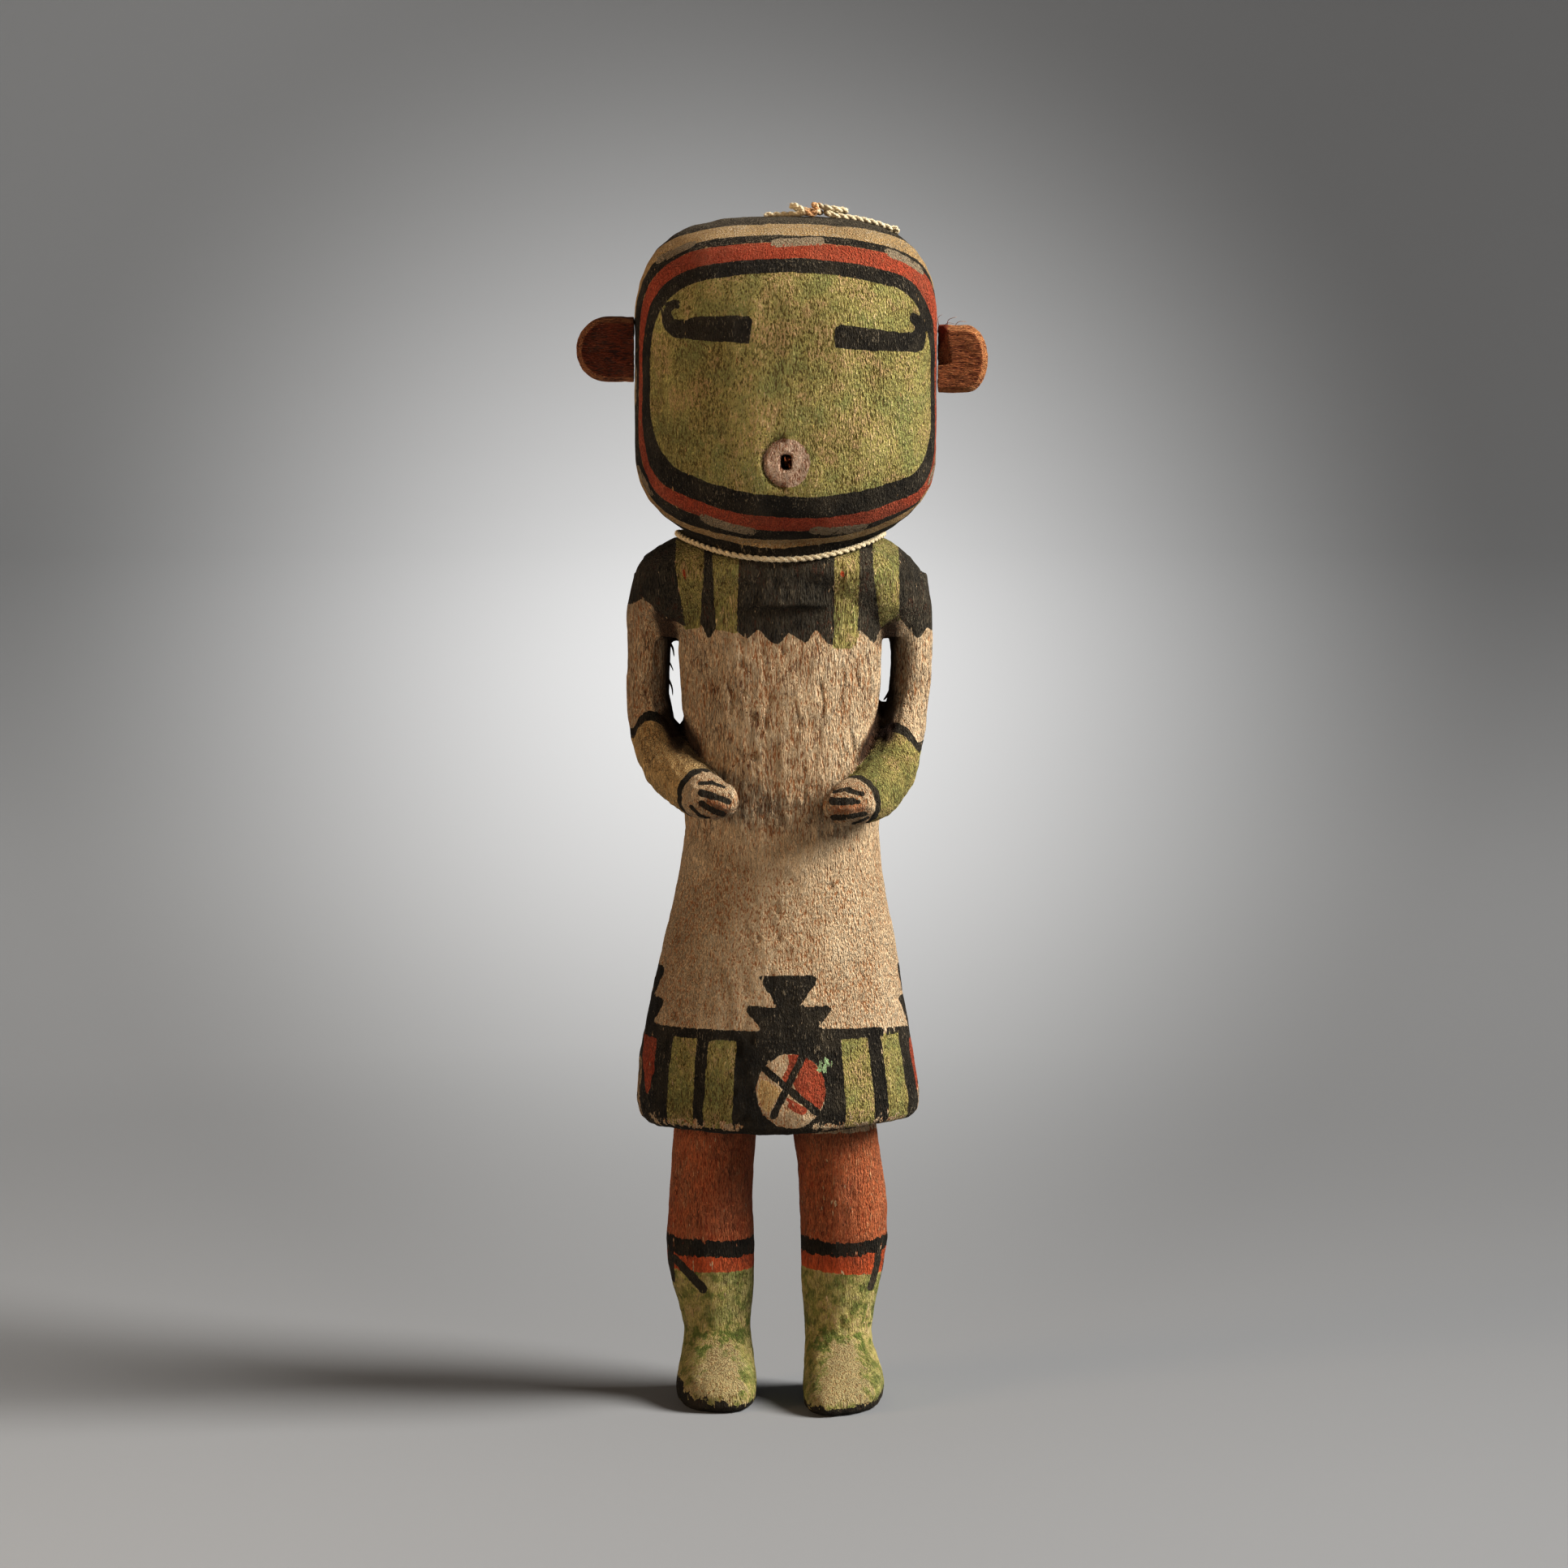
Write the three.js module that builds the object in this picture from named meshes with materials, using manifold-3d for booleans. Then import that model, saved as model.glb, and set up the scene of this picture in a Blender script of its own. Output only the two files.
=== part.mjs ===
import * as THREE from 'three';
import { mergeVertices } from 'three/addons/utils/BufferGeometryUtils.js';
import Module from 'manifold-3d';

// Carved wooden doll in millimetres: soles on z = 0, face towards -Y, the viewer's right at +X

const gap = 0.3;            // air between touching pieces
const cordDiameter = 1.7;   // two-ply cotton string
const cordSides = 8;

// helmet head: one closed barrel with a domed crown and a jaw that hangs lower in front
const head = {
  centreX: 1.1, lean: 0.003, width: 79.9, front: 34.5, back: 34, plan: 2.25, sides: 40,
  crownZ: 315.1, browZ: 283, jawZ: 254.8, chinZ: 229.8, chinDrop: 4.5,
  crownPower: 3.1, sideJawPower: 2.5, frontJawPower: 3, crownRings: 9, jawRings: 8
};
const neck = { centreX: 0, width: 52.6, front: 24.6, back: 21, bottomZ: 214, topZ: 236, sides: 32 };

// level sections of the long carved forms: z, centre x, half width, front y, back y, corner power
const dressSections = [
  [75.0, -0.3, 35.6, -28.0, 26.5, 2.0],
  [76.4, -0.5, 37.3, -29.6, 28.0, 2.0],
  [80.5, -0.9, 37.9, -30.3, 28.6, 2.0],
  [92.0, -1.4, 36.7, -29.4, 27.6, 2.05],
  [114.0, -1.0, 32.7, -27.2, 25.0, 2.15],
  [130.0, -0.5, 29.5, -25.2, 22.6, 2.2],
  [143.0, -0.2, 26.9, -23.8, 20.6, 2.2],
  [154.0, 0.0, 25.8, -23.2, 19.4, 2.25],
  [170.0, -0.2, 26.5, -23.6, 19.2, 2.3],
  [186.0, -0.3, 27.4, -23.4, 19.6, 2.35],
  [204.0, -0.3, 28.0, -22.6, 19.8, 2.4],
  [216.0, -0.3, 30.0, -22.8, 19.6, 2.4]
];
const shoulderSections = [
  [204.6, -0.5, 40.2, -12.6, 12.0, 2.0],
  [208.0, -0.4, 40.4, -16.0, 14.4, 2.0],
  [213.0, -0.4, 40.0, -20.4, 17.6, 2.1],
  [218.5, -0.6, 38.8, -23.4, 19.2, 2.15],
  [223.0, -0.9, 37.2, -24.9, 19.8, 2.2],
  [226.2, -1.2, 34.9, -24.6, 19.6, 2.2],
  [228.4, -1.1, 32.2, -23.2, 18.9, 2.15],
  [230.2, -0.8, 29.2, -21.2, 17.6, 2.1],
  [231.6, -0.6, 26.4, -19.0, 16.0, 2.1]
];
const leftLegSections = [
  [0.0, -17.2, 9.4, -24.0, 10.4, 2.5],
  [1.4, -17.3, 10.5, -25.6, 11.6, 2.6],
  [4.5, -17.4, 10.9, -25.6, 12.2, 2.6],
  [7.5, -17.3, 10.6, -23.6, 12.0, 2.5],
  [11.0, -17.1, 10.0, -19.2, 11.2, 2.3],
  [15.0, -17.0, 9.4, -13.2, 10.6, 2.1],
  [18.5, -17.2, 9.1, -10.2, 10.4, 2.0],
  [23.0, -17.7, 9.8, -10.0, 10.8, 2.0],
  [30.0, -18.4, 11.0, -10.6, 12.0, 2.05],
  [42.0, -19.1, 11.9, -11.6, 13.4, 2.1],
  [52.0, -19.1, 11.2, -11.6, 13.2, 2.05],
  [62.0, -18.5, 10.9, -11.6, 12.6, 2.0],
  [78.0, -17.2, 11.4, -12.0, 12.6, 2.0]
];
const rightLegSections = [
  [0.0, 16.2, 9.6, -27.8, 10.4, 2.5],
  [1.4, 16.4, 10.8, -29.4, 11.6, 2.6],
  [4.5, 16.5, 11.1, -29.0, 12.2, 2.6],
  [7.5, 16.4, 10.7, -26.2, 12.0, 2.5],
  [11.0, 15.9, 9.9, -20.4, 11.2, 2.3],
  [15.0, 15.4, 9.1, -13.8, 10.6, 2.1],
  [18.5, 15.3, 9.0, -10.4, 10.4, 2.0],
  [24.0, 15.4, 9.6, -10.2, 10.8, 2.0],
  [30.0, 15.8, 10.5, -10.6, 11.8, 2.05],
  [42.0, 16.8, 11.8, -11.6, 13.4, 2.1],
  [52.0, 16.6, 11.8, -11.8, 13.2, 2.05],
  [62.0, 15.6, 11.3, -11.8, 12.6, 2.0],
  [78.0, 13.4, 11.6, -12.0, 12.6, 2.0]
];
const hemTilt = { rise: 0.06, fadeZ: 110, bottomZ: 75 };   // the hem climbs a little towards the right
const toeSkew = { left: 0.08, right: 0.2 };   // the big-toe side of each boot reaches further forward
const toeTop = 17;                            // the skew fades out at the ankle

// arms: stations down each limb, x, y, z, half thickness across, half depth
const leftArm = [
  [-33.6, 0.6, 221.0, 5.4, 9.4],
  [-34.6, 0.8, 212.0, 6.2, 9.6],
  [-35.3, 0.8, 200.0, 5.9, 8.8],
  [-35.6, 0.2, 189.0, 5.85, 8.0],
  [-34.1, -2.6, 179.4, 6.5, 7.6],
  [-29.6, -10.4, 171.3, 7.2, 7.2],
  [-24.2, -19.4, 166.6, 7.0, 6.9],
  [-20.4, -25.4, 165.0, 6.4, 6.5]
];
const rightArm = [
  [33.0, 0.6, 221.0, 5.4, 9.4],
  [33.9, 0.8, 212.0, 6.0, 9.6],
  [34.4, 0.8, 200.0, 5.6, 8.8],
  [33.8, 0.0, 188.0, 5.45, 8.0],
  [31.6, -3.4, 178.6, 6.1, 7.6],
  [28.5, -11.2, 169.6, 7.2, 7.3],
  [23.9, -19.8, 165.0, 7.3, 7.1],
  [20.0, -25.4, 163.6, 6.6, 6.7]
];
const hand = { reach: 8.6, rings: 5, turn: 0.35 };   // rounded mitt beyond the last station

// ears: flat tabs set against the sides of the head
const leftEar = { outerX: -54.1, innerX: -34, topZ: 289.1, bottomZ: 272.0, round: 6.6, y: -1.5 };
const rightEar = { outerX: 54.4, innerX: 34, topZ: 287.0, bottomZ: 269.2, round: 4.2, y: -1.5 };
const earDepth = 10;
const earBevel = 1.5;
const earNotch = { width: 5.2, height: 11, depth: 3.4 };

// square hole that held the lost snout, and the stub of its broken peg
const mouth = { x: 1.2, z: 252.7, holeWidth: 2.8, holeHeight: 3.9, holeDepth: 9 };
const peg = { width: 1.6, height: 2.4, length: 5.6, x: 1.6, z: 252.5, recess: 1.5 };

// string tied round the neck: its loop hangs lower in front, with a knot and two tails behind
const neckLoop = { centreX: -0.3, halfWidth: 27.2, front: 25.4, back: 22.2, sideZ: 231.9 };
const neckLoopDrop = { front: 5.1, back: 3.4, steps: 24 };
const neckKnot = { y: 23.4, z: 228.4, halfWidth: 2.5, halfDepth: 1.7, halfHeight: 1.9 };
const neckTails = [
  [[0.6, 23.6, 228.2], [2.6, 24.0, 224.4], [3.4, 23.6, 219.6], [3.0, 23.2, 214.4]],
  [[-0.6, 23.6, 228.2], [-2.2, 24.0, 224.8], [-3.8, 23.8, 221.0], [-4.8, 23.4, 217.6]]
];

// knotted string lying on the crown, chosen by hand: x, y and the height above the dome
const crownRoute = [
  [-4.6, 0.6, 1.2], [-1.9, 0.3, 1.2], [0.9, -0.6, 1.25], [3.6, -2.0, 1.25], [6.6, -2.7, 1.25],
  [9.3, -1.6, 1.3], [10.0, 0.9, 1.5], [8.0, 2.6, 1.9], [5.0, 2.3, 2.3], [2.9, 0.6, 2.6],
  [3.4, -1.4, 2.75], [5.6, -1.0, 2.7], [7.6, 0.4, 2.75], [9.6, -0.4, 2.7], [11.9, -1.3, 2.6],
  [14.6, -1.0, 2.6], [17.0, 0.0, 2.4], [16.3, 1.7, 1.9], [13.6, 1.9, 1.5], [12.2, 0.2, 1.2],
  [12.6, -2.0, 1.2], [15.0, -2.7, 1.2], [18.4, -1.8, 1.2], [22.2, -0.8, 1.2], [26.0, -0.2, 1.2],
  [29.4, 0.2, 1.2], [31.4, 0.3, 1.2]
];
const crownSpan = 4;        // route points in each stretch of the crown cord

const manifold = await Module();
manifold.setup();

function toSolid(geometry) {
  const bare = geometry.clone();
  bare.deleteAttribute('normal');
  bare.deleteAttribute('uv');
  const merged = mergeVertices(bare, 1e-4);
  const vertProperties = new Float32Array(merged.attributes.position.array);
  const triVerts = new Uint32Array(merged.index.array);
  return new manifold.Manifold(new manifold.Mesh({ numProp: 3, vertProperties, triVerts }));
}

function toGeometry(solid) {
  const mesh = solid.getMesh();
  const geometry = new THREE.BufferGeometry();
  geometry.setAttribute('position', new THREE.BufferAttribute(new Float32Array(mesh.vertProperties), 3));
  geometry.setIndex(new THREE.BufferAttribute(new Uint32Array(mesh.triVerts), 1));
  geometry.computeVertexNormals();
  return geometry;
}

function unite(solids) {
  return solids.reduce((whole, next) => whole.add(next));
}

// closes a stack of rings, each a list of points of one length, into a solid with flat ends
function skin(rings) {
  const sides = rings[0].length;
  const points = rings.flat();
  const bottom = points.length;
  const top = bottom + 1;
  const middle = ring => ring.reduce((sum, p) => sum.add(p), new THREE.Vector3()).divideScalar(sides);
  points.push(middle(rings[0]), middle(rings[rings.length - 1]));
  const faces = [];
  for (let k = 0; k < rings.length - 1; k++) {
    for (let i = 0; i < sides; i++) {
      const a = k * sides + i;
      const b = k * sides + (i + 1) % sides;
      faces.push(a, b, b + sides, a, b + sides, a + sides);
    }
  }
  const last = (rings.length - 1) * sides;
  for (let i = 0; i < sides; i++) {
    const j = (i + 1) % sides;
    faces.push(bottom, j, i, top, last + i, last + j);
  }
  const geometry = new THREE.BufferGeometry();
  geometry.setAttribute('position', new THREE.Float32BufferAttribute(points.flatMap(p => p.toArray()), 3));
  geometry.setIndex(faces);
  return toSolid(geometry);
}

// level ring, an oval whose corners fill out as power grows
function levelRing(z, centreX, halfWidth, front, back, power, sides) {
  const ring = [];
  const blunt = value => Math.sign(value) * Math.abs(value) ** (2 / power);
  const middle = (front + back) / 2;
  const halfDepth = (back - front) / 2;
  for (let i = 0; i < sides; i++) {
    const angle = i / sides * 2 * Math.PI;
    const across = blunt(Math.cos(angle));
    const along = blunt(Math.sin(angle));
    ring.push(new THREE.Vector3(centreX + halfWidth * across, middle + halfDepth * along, z));
  }
  return ring;
}

// smooth run of sections through the given ones, with extra rings in the taller spans
function smoothSections(sections, tallest) {
  const fine = [];
  const at = k => sections[Math.min(Math.max(k, 0), sections.length - 1)];
  for (let k = 0; k < sections.length - 1; k++) {
    const steps = Math.max(1, Math.round(Math.abs(at(k + 1)[0] - at(k)[0]) / tallest));
    for (let s = 0; s < steps; s++) {
      const t = s / steps;
      fine.push(at(k).map((value, c) => c === 0
        ? THREE.MathUtils.lerp(value, at(k + 1)[0], t)
        : hermite(at(k - 1), at(k), at(k + 1), at(k + 2), c, t)));
    }
  }
  fine.push(at(sections.length - 1));
  return fine;
}

// cubic between b and c whose slopes follow the uneven spacing of the sections
function hermite(a, b, c, d, column, t) {
  const rise = c[0] - b[0];
  const slope = (p, q) => q[0] === p[0] ? 0 : (q[column] - p[column]) / (q[0] - p[0]);
  const start = a === b ? slope(b, c) : slope(a, c);
  const end = c === d ? slope(b, c) : slope(b, d);
  const t2 = t * t;
  const t3 = t2 * t;
  return (2 * t3 - 3 * t2 + 1) * b[column] + (t3 - 2 * t2 + t) * rise * start
    + (3 * t2 - 2 * t3) * c[column] + (t3 - t2) * rise * end;
}

function sectionSolid(sections, sides, tallest, shape = point => point) {
  const rings = smoothSections(sections, tallest).map(([z, x, half, front, back, power]) =>
    levelRing(z, x, half, front, back, power, sides).map(shape));
  return skin(rings);
}

// half size of the head at a height, as a share of its widest
function headShare(z, jawPower) {
  if (z >= head.browZ) {
    const rise = Math.min((z - head.browZ) / (head.crownZ - head.browZ), 1);
    return (1 - rise ** head.crownPower) ** (1 / head.crownPower);
  }
  const fall = THREE.MathUtils.clamp((head.jawZ - z) / (head.jawZ - head.chinZ), 0, 1);
  return (1 - fall ** jawPower) ** (1 / jawPower);
}

function headCentreX(z) {
  return head.centreX + head.lean * (z - head.jawZ);
}

function headSolid(grow) {
  const levels = [];
  for (let k = head.jawRings; k > 0; k--) {
    const fall = Math.sin(k / (head.jawRings + 0.35) * Math.PI / 2);
    levels.push(head.jawZ - fall * (head.jawZ - head.chinZ));
  }
  levels.push(head.jawZ, head.browZ);
  for (let k = 1; k <= head.crownRings; k++) {
    const rise = Math.sin(k / (head.crownRings + 0.35) * Math.PI / 2);
    levels.push(head.browZ + rise * (head.crownZ - head.browZ));
  }
  const rings = levels.map(z => {
    const side = headShare(z, head.sideJawPower);
    const face = headShare(z, head.frontJawPower);
    const ring = levelRing(z, headCentreX(z), head.width / 2 * side + grow, -head.front * face - grow,
      head.back * side + grow, head.plan, head.sides);
    const low = THREE.MathUtils.clamp((head.jawZ - z) / (head.jawZ - head.chinZ), 0, 1);
    return ring.map(p => p.setZ(z + head.chinDrop * low * Math.min(p.y, 0) / head.front));
  });
  return skin(rings);
}

// height of the dome over a point of the crown
function domeZ(x, y) {
  const across = Math.abs(x - headCentreX(head.crownZ)) / (head.width / 2);
  const along = Math.abs(y) / (y < 0 ? head.front : head.back);
  const share = (across ** head.plan + along ** head.plan) ** (1 / head.plan);
  return head.browZ + (head.crownZ - head.browZ) * (1 - share ** head.crownPower) ** (1 / head.crownPower);
}

// oval limb through its stations, closed by a rounded mitt at the far end
function limbSolid(stations, sides) {
  const places = stations.map(([x, y, z]) => new THREE.Vector3(x, y, z));
  const path = new THREE.CatmullRomCurve3(places, false, 'centripetal');
  const rings = [];
  const steps = (stations.length - 1) * 2;
  const frameAt = (t, centre, across, depth) => {
    const along = path.getTangent(t);
    const side = new THREE.Vector3(0, 1, 0).cross(along).normalize();
    const over = along.clone().cross(side).normalize();
    const ring = [];
    for (let i = 0; i < sides; i++) {
      const angle = i / sides * 2 * Math.PI;
      ring.push(centre.clone()
        .addScaledVector(side, across * Math.cos(angle))
        .addScaledVector(over, depth * Math.sin(angle)));
    }
    return ring;
  };
  for (let k = 0; k <= steps; k++) {
    const t = k / steps;
    const place = t * (stations.length - 1);
    const low = Math.min(Math.floor(place), stations.length - 2);
    const [before, after] = stations.slice(low, low + 2);
    const mix = column => THREE.MathUtils.lerp(before[column], after[column], place - low);
    rings.push(frameAt(t, path.getPoint(t), mix(3), mix(4)));
  }
  const [across, depth] = stations[stations.length - 1].slice(3);
  const end = path.getPoint(1);
  const ahead = path.getTangent(1);
  const inward = new THREE.Vector3(-Math.sign(end.x), 0, 0);
  for (let k = 1; k <= hand.rings; k++) {
    const angle = k / (hand.rings + 0.3) * Math.PI / 2;
    const centre = end.clone()
      .addScaledVector(ahead, hand.reach * Math.sin(angle))
      .addScaledVector(inward, hand.reach * hand.turn * Math.sin(angle) ** 2);
    rings.push(frameAt(1, centre, across * Math.cos(angle) ** 0.8, depth * Math.cos(angle) ** 0.8));
  }
  return skin(rings);
}

function tiltHem(p) {
  const low = THREE.MathUtils.clamp((hemTilt.fadeZ - p.z) / (hemTilt.fadeZ - hemTilt.bottomZ), 0, 1);
  return p.setZ(p.z + hemTilt.rise * Math.max(p.x, 0) * low);
}

function legSolid(sections, inward) {
  const middle = sections[0][1];
  return sectionSolid(sections, 22, 8, p => {
    const low = THREE.MathUtils.clamp(1 - p.z / toeTop, 0, 1);
    const skew = inward * low * (p.x - middle) / sections[0][2];
    return p.y < 0 ? p.setY(p.y * (1 + skew)) : p;
  });
}

function boxSolid(width, depth, height, x, y, z) {
  return toSolid(new THREE.BoxGeometry(width, depth, height).translate(x, y, z));
}

function cordSection(radius) {
  const section = new THREE.Shape();
  for (let i = 0; i < cordSides; i++) {
    const angle = (i + 0.5) / cordSides * 2 * Math.PI;
    const place = [radius * Math.cos(angle), radius * Math.sin(angle)];
    if (i === 0) section.moveTo(...place);
    else section.lineTo(...place);
  }
  section.closePath();
  return section;
}

function cordSolid(points, radius, steps) {
  const extrudePath = new THREE.CatmullRomCurve3(points, false, 'centripetal');
  const sweep = { steps, extrudePath, bevelEnabled: false };
  return toSolid(new THREE.ExtrudeGeometry(cordSection(radius), sweep));
}

function lumpSolid(x, y, z, halfX, halfY, halfZ) {
  return toSolid(new THREE.SphereGeometry(1, 10, 7).scale(halfX, halfY, halfZ).translate(x, y, z));
}

function neckLoopPoint(angle) {
  const along = Math.sin(angle);
  const reach = along < 0 ? neckLoop.front : neckLoop.back;
  const drop = along < 0 ? neckLoopDrop.front : neckLoopDrop.back;
  const x = neckLoop.centreX + neckLoop.halfWidth * Math.cos(angle);
  return new THREE.Vector3(x, reach * along, neckLoop.sideZ - drop * along ** 2);
}

// the loop is swept in two halves that overlap a little, then joined
function neckLoopSolid(radius) {
  const halves = [0, 1].map(half => {
    const steps = neckLoopDrop.steps / 2;
    const points = [];
    for (let k = 0; k <= steps + 1; k++) {
      points.push(neckLoopPoint((half + (k - 0.5) / steps) * Math.PI));
    }
    return cordSolid(points, radius, steps + 1);
  });
  return unite(halves);
}

function neckCordSolid() {
  const radius = cordDiameter / 2;
  const { y, z, halfWidth, halfDepth, halfHeight } = neckKnot;
  const knot = lumpSolid(0, y, z, halfWidth, halfDepth, halfHeight);
  const tails = neckTails.map(points => cordSolid(points.map(p => new THREE.Vector3(...p)), radius, 5));
  return unite([neckLoopSolid(radius), knot, ...tails]);
}

function crownCordSolid() {
  const radius = cordDiameter / 2;
  const points = crownRoute.map(([x, y, lift]) => new THREE.Vector3(x, y, domeZ(x, y) + lift));
  const stretches = [];
  for (let k = 0; k < points.length - 1; k += crownSpan) {
    const stretch = points.slice(k, k + crownSpan + 2);
    if (stretch.length > 1) stretches.push(cordSolid(stretch, radius, stretch.length - 1));
  }
  return unite(stretches);
}

function figureSolid() {
  const { holeWidth, holeDepth, holeHeight } = mouth;
  const hole = boxSolid(holeWidth, holeDepth * 2, holeHeight, mouth.x, -head.front, mouth.z);
  const neckRings = [neck.bottomZ, neck.topZ].map(z =>
    levelRing(z, neck.centreX, neck.width / 2, -neck.front, neck.back, 2.1, neck.sides));
  return unite([
    headSolid(0),
    skin(neckRings),
    sectionSolid(dressSections, 40, 11, tiltHem),
    sectionSolid(shoulderSections, 40, 6),
    limbSolid(leftArm, 14),
    limbSolid(rightArm, 14),
    legSolid(leftLegSections, toeSkew.left),
    legSolid(rightLegSections, -toeSkew.right)
  ]).subtract(hole).subtract(neckLoopSolid(cordDiameter / 2 + gap));
}

// tab outline in the front view, one end rounded, then swept through its depth with chamfered rims
function earSolid(ear) {
  const outward = Math.sign(ear.outerX);
  const top = ear.topZ - earBevel;
  const bottom = ear.bottomZ + earBevel;
  const tip = ear.outerX - outward * (ear.round + earBevel);
  const outline = new THREE.Shape();
  outline.moveTo(ear.innerX * outward, bottom);
  outline.lineTo(tip * outward, bottom);
  const halfHeight = (top - bottom) / 2;
  const quarter = Math.PI / 2;
  outline.absellipse(tip * outward, bottom + halfHeight, ear.round, halfHeight, -quarter, quarter, false);
  outline.lineTo(ear.innerX * outward, top);
  outline.closePath();
  const geometry = new THREE.ExtrudeGeometry(outline, {
    depth: earDepth - 2 * earBevel, steps: 1, curveSegments: 10,
    bevelEnabled: true, bevelThickness: earBevel, bevelSize: earBevel, bevelSegments: 1
  });
  geometry.rotateX(Math.PI / 2).translate(0, ear.y + earDepth / 2 - earBevel, 0);
  if (outward < 0) geometry.rotateZ(Math.PI).translate(0, 2 * ear.y, 0);
  return toSolid(geometry).subtract(headSolid(gap));
}

// the right tab has a slanting cut at its inner upper front corner
function rightEarSolid() {
  const cut = new THREE.BoxGeometry(earNotch.width, earNotch.width, earNotch.height);
  cut.rotateZ(Math.PI / 4).rotateY(-0.12);
  const front = rightEar.y - earDepth / 2;
  cut.translate(head.centreX + head.width / 2 + 0.2, front - earNotch.width / 2 + earNotch.depth / 2,
    rightEar.topZ - earNotch.height / 2 + 0.6);
  return earSolid(rightEar).subtract(toSolid(cut));
}

// snapped stub: a small square peg with a slanting broken end
function pegSolid() {
  const backY = mouth.holeDepth - head.front - gap;
  const stub = boxSolid(peg.width, peg.length, peg.height, peg.x, backY - peg.length / 2, peg.z);
  const slice = new THREE.BoxGeometry(peg.width * 2, peg.length, peg.height * 2).rotateX(0.5).rotateZ(0.3);
  slice.translate(peg.x, backY - peg.length - peg.length / 2 + peg.recess, peg.z);
  return stub.subtract(toSolid(slice));
}

const finishes = {
  carvedWood: { color: 0xa88763, roughness: 0.92, metalness: 0 },
  earWood: { color: 0x7a4526, roughness: 0.88, metalness: 0 },
  cottonString: { color: 0xc9b898, roughness: 0.95, metalness: 0 },
  brokenWood: { color: 0x6b3f24, roughness: 0.95, metalness: 0 }
};

const pieces = [
  ['figure', figureSolid(), 'carvedWood'],
  ['left_ear', earSolid(leftEar), 'earWood'],
  ['right_ear', rightEarSolid(), 'earWood'],
  ['mouth_peg', pegSolid(), 'brokenWood'],
  ['neck_cord', neckCordSolid(), 'cottonString'],
  ['crown_cord', crownCordSolid(), 'cottonString']
];

const doll = new THREE.Group();
for (const [name, solid, finish] of pieces) {
  const mesh = new THREE.Mesh(toGeometry(solid), new THREE.MeshStandardMaterial(finishes[finish]));
  mesh.name = name;
  doll.add(mesh);
}

export default doll;
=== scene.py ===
import math
import bmesh
import bpy
import numpy as np
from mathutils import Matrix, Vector


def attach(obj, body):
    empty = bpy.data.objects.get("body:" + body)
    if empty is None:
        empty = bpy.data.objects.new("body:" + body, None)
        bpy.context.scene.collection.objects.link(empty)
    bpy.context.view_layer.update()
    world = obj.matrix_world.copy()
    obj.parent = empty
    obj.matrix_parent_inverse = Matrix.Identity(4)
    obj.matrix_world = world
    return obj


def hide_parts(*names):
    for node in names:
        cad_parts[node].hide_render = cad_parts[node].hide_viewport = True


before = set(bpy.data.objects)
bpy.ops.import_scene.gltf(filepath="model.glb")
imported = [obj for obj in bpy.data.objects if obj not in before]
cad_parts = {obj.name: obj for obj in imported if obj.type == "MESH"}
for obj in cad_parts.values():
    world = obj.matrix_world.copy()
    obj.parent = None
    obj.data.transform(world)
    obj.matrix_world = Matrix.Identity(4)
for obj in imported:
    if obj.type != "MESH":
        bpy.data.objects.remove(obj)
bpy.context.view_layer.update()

# Carved and painted wooden doll. Metres, +Z up, face towards -Y, the viewer's right at +X.
# Sizes in the dictionaries are millimetres unless a note says otherwise.
mm = 0.001

cameraPlace = {"x": 0.65, "y": -1600.0, "z": 345.0, "downTilt": 6.417, "lens": 138.95, "sensor": 36.0}


def makeCamera():
    data = bpy.data.cameras.new("camera")
    data.lens = cameraPlace["lens"]
    data.sensor_width = cameraPlace["sensor"]
    data.clip_end = 20
    camera = bpy.data.objects.new("camera", data)
    camera.location = Vector((cameraPlace["x"], cameraPlace["y"], cameraPlace["z"])) * mm
    camera.rotation_euler = (math.radians(90 - cameraPlace["downTilt"]), 0, 0)
    bpy.context.collection.objects.link(camera)
    bpy.context.scene.camera = camera


makeCamera()
print("camera placed")


# Node trees, shared helpers
def plug(tree, node, key, value):
    if isinstance(value, bpy.types.NodeSocket):
        tree.links.new(value, node.inputs[key])
    else:
        node.inputs[key].default_value = value


def addNode(tree, kind, inputs=None, **settings):
    node = tree.nodes.new(kind)
    for name, value in settings.items():
        setattr(node, name, value)
    for key, value in (inputs or {}).items():
        plug(tree, node, key, value)
    return node


def calc(tree, operation, *values):
    return addNode(tree, "ShaderNodeMath", dict(enumerate(values)), operation=operation).outputs[0]


def vectorCalc(tree, operation, *values):
    node = addNode(tree, "ShaderNodeVectorMath", dict(enumerate(values)), operation=operation)
    return node.outputs["Vector"]


def measure(tree, operation, *values):
    node = addNode(tree, "ShaderNodeVectorMath", dict(enumerate(values)), operation=operation)
    return node.outputs["Value"]


def remap(tree, value, low, high, toLow=0.0, toHigh=1.0):
    inputs = {"Value": value, "From Min": low, "From Max": high, "To Min": toLow, "To Max": toHigh}
    node = addNode(tree, "ShaderNodeMapRange", inputs, interpolation_type="SMOOTHSTEP")
    return node.outputs["Result"]


def mixColour(tree, share, first, second, blend="MIX"):
    node = addNode(tree, "ShaderNodeMix", {0: share, 6: first, 7: second}, data_type="RGBA", blend_type=blend)
    return node.outputs[2]


def pigment(red, green, blue):
    # colour as a colour picker shows it, made linear
    channels = [value / 255 for value in (red, green, blue)]
    return tuple(c / 12.92 if c < 0.04045 else ((c + 0.055) / 1.055) ** 2.4 for c in channels) + (1.0,)


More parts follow.
